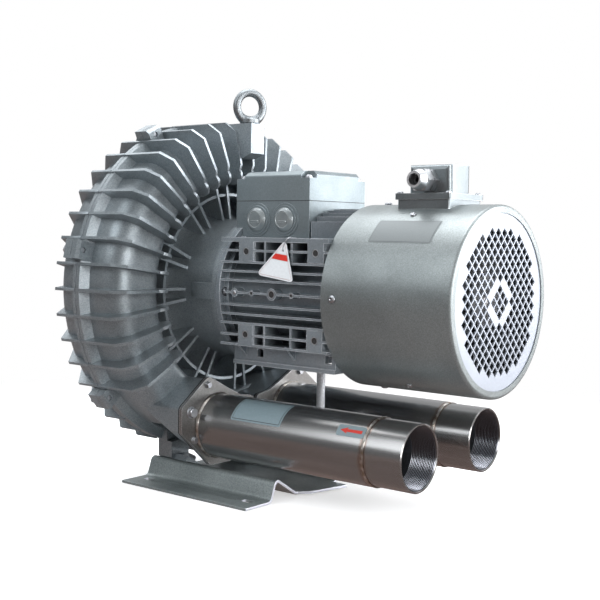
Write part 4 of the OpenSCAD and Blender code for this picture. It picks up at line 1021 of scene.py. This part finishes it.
def dressEye(spec):
    # forged ring that thickens towards its neck, on a chamfered collar
    low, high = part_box("eye_bolt")
    middle = Vector(((low.x + high.x) / 2, 0, high.z - spec["top"]))
    bm = bmesh.new()
    turn = math.radians(spec["turn"])
    along = Vector((math.cos(turn), math.sin(turn), 0))
    across = Vector((-math.sin(turn), math.cos(turn), 0))
    rings = []
    for x, z in circle(spec["steps"]):
        r = spec["wire"] + spec["neckGrow"] * max(0, -z) ** 3
        out = along * x + Vector((0, 0, 1)) * z
        centre = middle + out * spec["ringR"]
        rings.append([bm.verts.new(centre + out * r * c + across * r * s) for c, s in circle(24)])
    for k in range(spec["steps"]):
        bridge(bm, rings[k - 1], rings[k])
    lathe(bm, spec["collar"], (middle.x, 0, middle.z - spec["collarDown"]), (0, 0, 1), 48)
    finishMesh("eyeBoltForged", bm, "forgedEye", 40, "eye_bolt")


dressEye(eyeSpec)
print("plugs and eye dressed")


# stickers, plate and tag, all bare

stickerColours = {  # colour, roughness, metal and grain
    "labelBlue": ((0.165, 0.222, 0.246), 0.36),
    "labelInk": ((0.03, 0.04, 0.045), 0.4),
    "labelRed": ((0.52, 0.020, 0.010), 0.35),
    "tagPaper": ((0.62, 0.64, 0.66), 0.45),
    "plateSilver": ((0.160, 0.178, 0.183), 0.50, 0.50, 900),
    "tagLine": ((0.42, 0.24, 0.22), 0.45),
}


def coloured(name, colour, rough, metal=0.0, grain=300):
    f = Finish(name)
    speck = f.noise(grain, 3)
    light = tuple(min(1, c * 1.08 + 0.01) for c in colour)
    f.set(Base_Color=f.ramp(speck, [(0.3, colour), (0.7, light)]), Metallic=metal,
        Roughness=f.spread(speck, rough - 0.05, rough + 0.05), Normal=f.bump(speck, 0.03, 0.0003))
    return f.mat


for name, values in stickerColours.items():
    finishes[name] = coloured(name, *values)


def roundSpan(u, width, height, r):
    # half height of a rounded rectangle at distance u from its left side
    edge = min(u, width - u)
    return height / 2 if edge >= r else height / 2 - r + math.sqrt(max(0, r * r - (r - edge) ** 2))


def onTube(bm, spec, x, a, r):
    return bm.verts.new((x, spec["y"] + r * math.cos(a), spec["z"] + r * math.sin(a)))


def thinSheet(name, bm, finish, thick, sharp):
    bmesh.ops.solidify(bm, geom=bm.faces[:], thickness=thick)
    finishMesh(name, bm, finish, sharp)


patchSpec = {"cornerSteps": 6, "across": 12, "around": 12, "thick": 0.00012, "leastCorner": 0.0004}


def sticker(spec, name, finish, lift, inset):
    # thin rounded patch lying on a tube along X
    bm = bmesh.new()
    r = spec["r"] + lift
    x0, x1 = spec["x"]
    a0, a1 = spec["a"]
    width = x1 - x0 - 2 * inset
    height = (a1 - a0) * math.pi / 180 * r - 2 * inset
    middle = math.radians((a0 + a1) / 2)
    corner = max(patchSpec["leastCorner"], spec["corner"] - inset)
    count, across, around = patchSpec["cornerSteps"], patchSpec["across"], patchSpec["around"]
    ends = [corner * (1 - math.cos(math.pi / 2 * k / count)) for k in range(count + 1)]
    between = [corner + (width - 2 * corner) * k / across for k in range(1, across)]
    columns = []
    for u in ends + between + [width - u for u in reversed(ends)]:
        half = max(roundSpan(u, width, height, corner), 1e-5)
        columns.append([onTube(bm, spec, x0 + inset + u, middle + half * (2 * j / around - 1) / r, r)
            for j in range(around + 1)])
    for a, b in zip(columns, columns[1:]):
        for j in range(around):
            bm.faces.new((a[j], b[j], b[j + 1], a[j + 1]))
    thinSheet(name, bm, finish, patchSpec["thick"], 50)


onPipe = {"r": tubeR, "y": pipeY, "z": pipeZ, "slot": "stainless"}
onCowl = {"r": cowlR, "y": 0, "z": shaftZ, "slot": "cowl_paint"}
labelSpec = {
    **onPipe, "x": (0.0665, 0.1545), "a": (100.5, 153.5), "corner": 0.003,
    "layers": [  # piece, finish, lift over the metal and inset
        ("tubeLabel", "labelBlue", 0.00022, 0.0),
        ("tubeLabelBorder", "labelInk", 0.00028, 0.0022),
        ("tubeLabelField", "labelBlue", 0.00034, 0.0031),
    ],
}
arrowSpec = {
    **onPipe, "x": (0.2460, 0.2890), "a": (130.0, 150.5), "corner": 0.003,
    "layers": [("arrowSticker", "labelBlue", 0.00022, 0.0)],
    "lift": 0.00042,
    "margin": 0.0045,
    "head": (0.0115, 0.0046),  # length and half its width
    "barb": 0.001,
    "shaft": (0.0019, 0.0023),  # half its width at the head and at the tail
    "thick": 0.0001,
}
plateSpec = {
    **onCowl, "x": (0.2740, 0.3660), "a": (125.0, 143.5), "corner": 0.002,
    "layers": [
        ("cowlPlate", "plateSilver", 0.00025, 0.0),
        ("cowlPlateBorder", "labelInk", 0.00030, 0.0016),
        ("cowlPlateField", "plateSilver", 0.00036, 0.0019),
    ],
}

for spec in (labelSpec, arrowSpec, plateSpec):
    for layer in spec["layers"]:
        sticker(spec, *layer)


def flowArrow(spec):
    r = spec["r"] + spec["lift"]
    middle = math.radians(sum(spec["a"]) / 2)
    x0, x1 = spec["x"][0] + spec["margin"], spec["x"][1] - spec["margin"]
    length, wide = spec["head"]
    neck, tail = spec["shaft"]
    back = x0 + length - spec["barb"]
    outline = [(x0, 0), (x0 + length, wide), (back, neck), (x1, tail), (x1, -tail), (back, -neck),
        (x0 + length, -wide)]
    bm = bmesh.new()
    corners = [onTube(bm, spec, x, middle + h / r, r) for x, h in outline]
    for face in ((0, 1, 2, 5, 6), (2, 3, 4, 5)):
        bm.faces.new([corners[i] for i in face])
    thinSheet("flowArrow", bm, "labelRed", spec["thick"], 50)


flowArrow(arrowSpec)
print("stickers on")


# motor pads and lid seal

padSpec = {
    "face": -0.1070,
    "pads": [(0.078, 0.057), (0.198, 0.057), (0.078, -0.057), (0.198, -0.057)],  # X and height over the shaft
    "padR": 0.0042,
    "eyes": [(0.057, 0.0030, True), (0.088, 0.0020, False), (0.124, 0.0045, False), (0.158, 0.0020, False)],
    "rim": 0.0007,
    "rimProfile": [(-0.0006, 0), (0.0002, 1.4), (0.0003, 1), (0.0001, 0), (-0.0006, 0)],  # shares of the rim
    "well": (-0.0008, 0.00002),
    "wellGrow": 0.0001,
    "screw": (0.0018, 0.5),  # height of the earth screw's head and its turn
    "screwSunk": 0.0002,
}


def tappedHole(ring, well, x, z, r):
    # bright countersunk rim round a dark disc, painted shade in the hole
    place, out = (x, padSpec["face"], z), (0, -1, 0)
    lathe(ring, [(up, r + padSpec["rim"] * share) for up, share in padSpec["rimProfile"]], place, out, 36)
    rod(well, place, out, r + padSpec["wellGrow"], *padSpec["well"], 36)


def dressPads(spec):
    ring, well, screw = bmesh.new(), bmesh.new(), bmesh.new()
    for x, h in spec["pads"]:
        tappedHole(ring, well, x, shaftZ + h, spec["padR"])
    for x, r, filled in spec["eyes"]:
        if filled:
            crossHead(screw, (x, spec["face"] + spec["screwSunk"], shaftZ), (0, -1, 0), r, *spec["screw"])
        else:
            tappedHole(ring, well, x, shaftZ, r)
    finishMesh("padRims", ring, "zinc_steel", 60)
    # the near-black seal rubber finish stands in as painted shade in the holes
    finishMesh("padHoleShade", well, "seal_rubber")
    finishMesh("earthScrew", screw, "zinc_steel")


sealSpec = {"proud": 0.00012, "tall": 0.0009, "under": 0.001}


def dressLidSeal(spec):
    # edge of the flat seal between the box and its lid
    low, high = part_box("terminal_lid")
    bm = bmesh.new()
    loops = []
    for z in (low.z - spec["tall"] / 2, low.z + spec["tall"] / 2):
        for grow in (spec["proud"], -spec["under"]):
            loops.append([bm.verts.new((x, y, z)) for x, y in (
                (low.x - grow, low.y - grow), (high.x + grow, low.y - grow),
                (high.x + grow, high.y + grow), (low.x - grow, high.y + grow))])
    for a, b in ((0, 2), (2, 3), (3, 1), (1, 0)):
        bridge(bm, loops[a], loops[b])
    finishMesh("lidSeal", bm, "gasket")


dressPads(padSpec)
dressLidSeal(sealSpec)
print("pads and lid dressed")


# hang tag on its wire

tagSpec = {
    "corner": (0.1017, 0.3152),  # lower left corner in X and Z
    "tilt": -7.3,
    "y": -0.1098,
    "thick": 0.0007,
    "outline": [(-0.0030, -0.0024), (0.0631, -0.0026), (0.0421, 0.0520)],
    "round": 0.0042,
    "hole": (0.0400, 0.0366),
    "holeR": 0.0015,
    "line": [(0.0021, 0.0021), (0.0025, 0.0017)],  # inset and rounding, outer and inner
    "lineLift": 0.00012,
    "band": [(0.0219, 0.0235), (0.0502, 0.0235), (0.0476, 0.0312), (0.0283, 0.0312)],
    "bandLift": 0.00016,
    "ink": 0.0001,
}


def tagPoint(u, v, lift=0.0):
    a = math.radians(tagSpec["tilt"])
    x0, z0 = tagSpec["corner"]
    return Vector((x0 + u * math.cos(a) - v * math.sin(a), tagSpec["y"] - lift,
        z0 + u * math.sin(a) + v * math.cos(a)))


def roundedTriangle(inset, r, steps=6):
    points = [Vector(p) for p in tagSpec["outline"]]
    out = []
    for i in range(3):
        a, b, c = points[i - 1], points[i], points[(i + 1) % 3]
        p, q = (a - b).normalized(), (c - b).normalized()
        half = math.acos(p.dot(q)) / 2
        centre = b + (p + q).normalized() * ((r + inset) / math.sin(half))
        first = (b + p * (r + inset) / math.tan(half)) - centre
        last = (b + q * (r + inset) / math.tan(half)) - centre
        a0 = math.atan2(first.y, first.x)
        turn = (math.atan2(last.y, last.x) - a0 + math.pi) % (2 * math.pi) - math.pi
        for k in range(steps + 1):
            g = a0 + turn * k / steps
            out.append(centre + Vector((math.cos(g), math.sin(g))) * r)
    return out


def flatRing(outer, inner, lift):
    # flat ring on the tag, between two outlines with the same number of corners
    bm = bmesh.new()
    bridge(bm, *([bm.verts.new(tagPoint(p[0], p[1], lift)) for p in line] for line in (outer, inner)))
    return bm


def holeOutline(outer, r):
    # the hole's outline, with its corners opposite those of the outer one
    cx, cy = tagSpec["hole"]
    return [(cx + r * math.cos(g), cy + r * math.sin(g))
        for g in (math.atan2(p[1] - cy, p[0] - cx) for p in outer)]


def dressTag(spec):
    outer = roundedTriangle(0, spec["round"])
    sheet = flatRing(outer, holeOutline(outer, spec["holeR"]), 0)
    thinSheet("hangTag", sheet, "tagPaper", spec["thick"], 40)
    line = flatRing(*(roundedTriangle(*row) for row in spec["line"]), spec["thick"] + spec["lineLift"])
    thinSheet("hangTagLine", line, "tagLine", spec["ink"], 40)
    band = bmesh.new()
    lift = spec["thick"] + spec["bandLift"]
    band.faces.new([band.verts.new(tagPoint(u, v, lift)) for u, v in spec["band"]])
    thinSheet("hangTagBand", band, "labelRed", spec["ink"], 40)


wireSpec = {
    "r": 0.00045,
    "ledge": 0.0767,  # height over the shaft
    "hangTagWire": (  # points from the tag's hole, then X from the hole, Y, and height over the ledge
        [(0, 0.0012, 0), (0, -0.0016, 0.0003), (0.002, -0.0017, 0.006), (0.005, -0.0007, 0.013)],
        [(0.008, -0.1075, 0), (0.009, -0.1030, 0), (0.009, -0.0940, 0)]),
    "hangTagWireBack": (
        [(0, 0.0012, 0), (0.001, 0.0010, 0.006), (0.003, 0.0010, 0.013)],
        [(0.006, -0.1078, -0.0006), (0.0075, -0.1030, 0), (0.009, -0.0940, 0)]),
}


def wirePiece(name, points, r, parts=6, sides=10):
    # round wire along a smoothed path
    path = [Vector(p) for p in points]
    fine = []
    for i in range(len(path) - 1):
        a, b = path[max(0, i - 1)], path[i]
        c, d = path[i + 1], path[min(len(path) - 1, i + 2)]
        for k in range(parts):
            t = k / parts
            fine.append(0.5 * ((2 * b) + (c - a) * t + (2 * a - 5 * b + 4 * c - d) * t * t
                + (3 * b - a - 3 * c + d) * t ** 3))
    fine.append(path[-1])
    bm = bmesh.new()
    rings = []
    guide = Vector((0.3, 0.1, 0.95))  # keeps the rings from twisting
    for i, p in enumerate(fine):
        along = (fine[min(i + 1, len(fine) - 1)] - fine[max(0, i - 1)]).normalized()
        side = along.cross(guide).normalized()
        other = along.cross(side)
        rings.append([bm.verts.new(p + (side * c + other * s) * r) for c, s in circle(sides)])
    for a, b in zip(rings, rings[1:]):
        bridge(bm, a, b)
    bm.faces.new(list(reversed(rings[0])))
    bm.faces.new(rings[-1])
    finishMesh(name, bm, "zinc_steel", sharp=50)


def dressTagWire(spec):
    hole = tagPoint(*tagSpec["hole"])
    for name in ("hangTagWire", "hangTagWireBack"):
        up, over = spec[name]
        points = [hole + Vector(p) for p in up]
        points += [(hole.x + x, y, shaftZ + spec["ledge"] + z) for x, y, z in over]
        wirePiece(name, points, spec["r"])


dressTag(tagSpec)
dressTagWire(wireSpec)
print("tag hung")
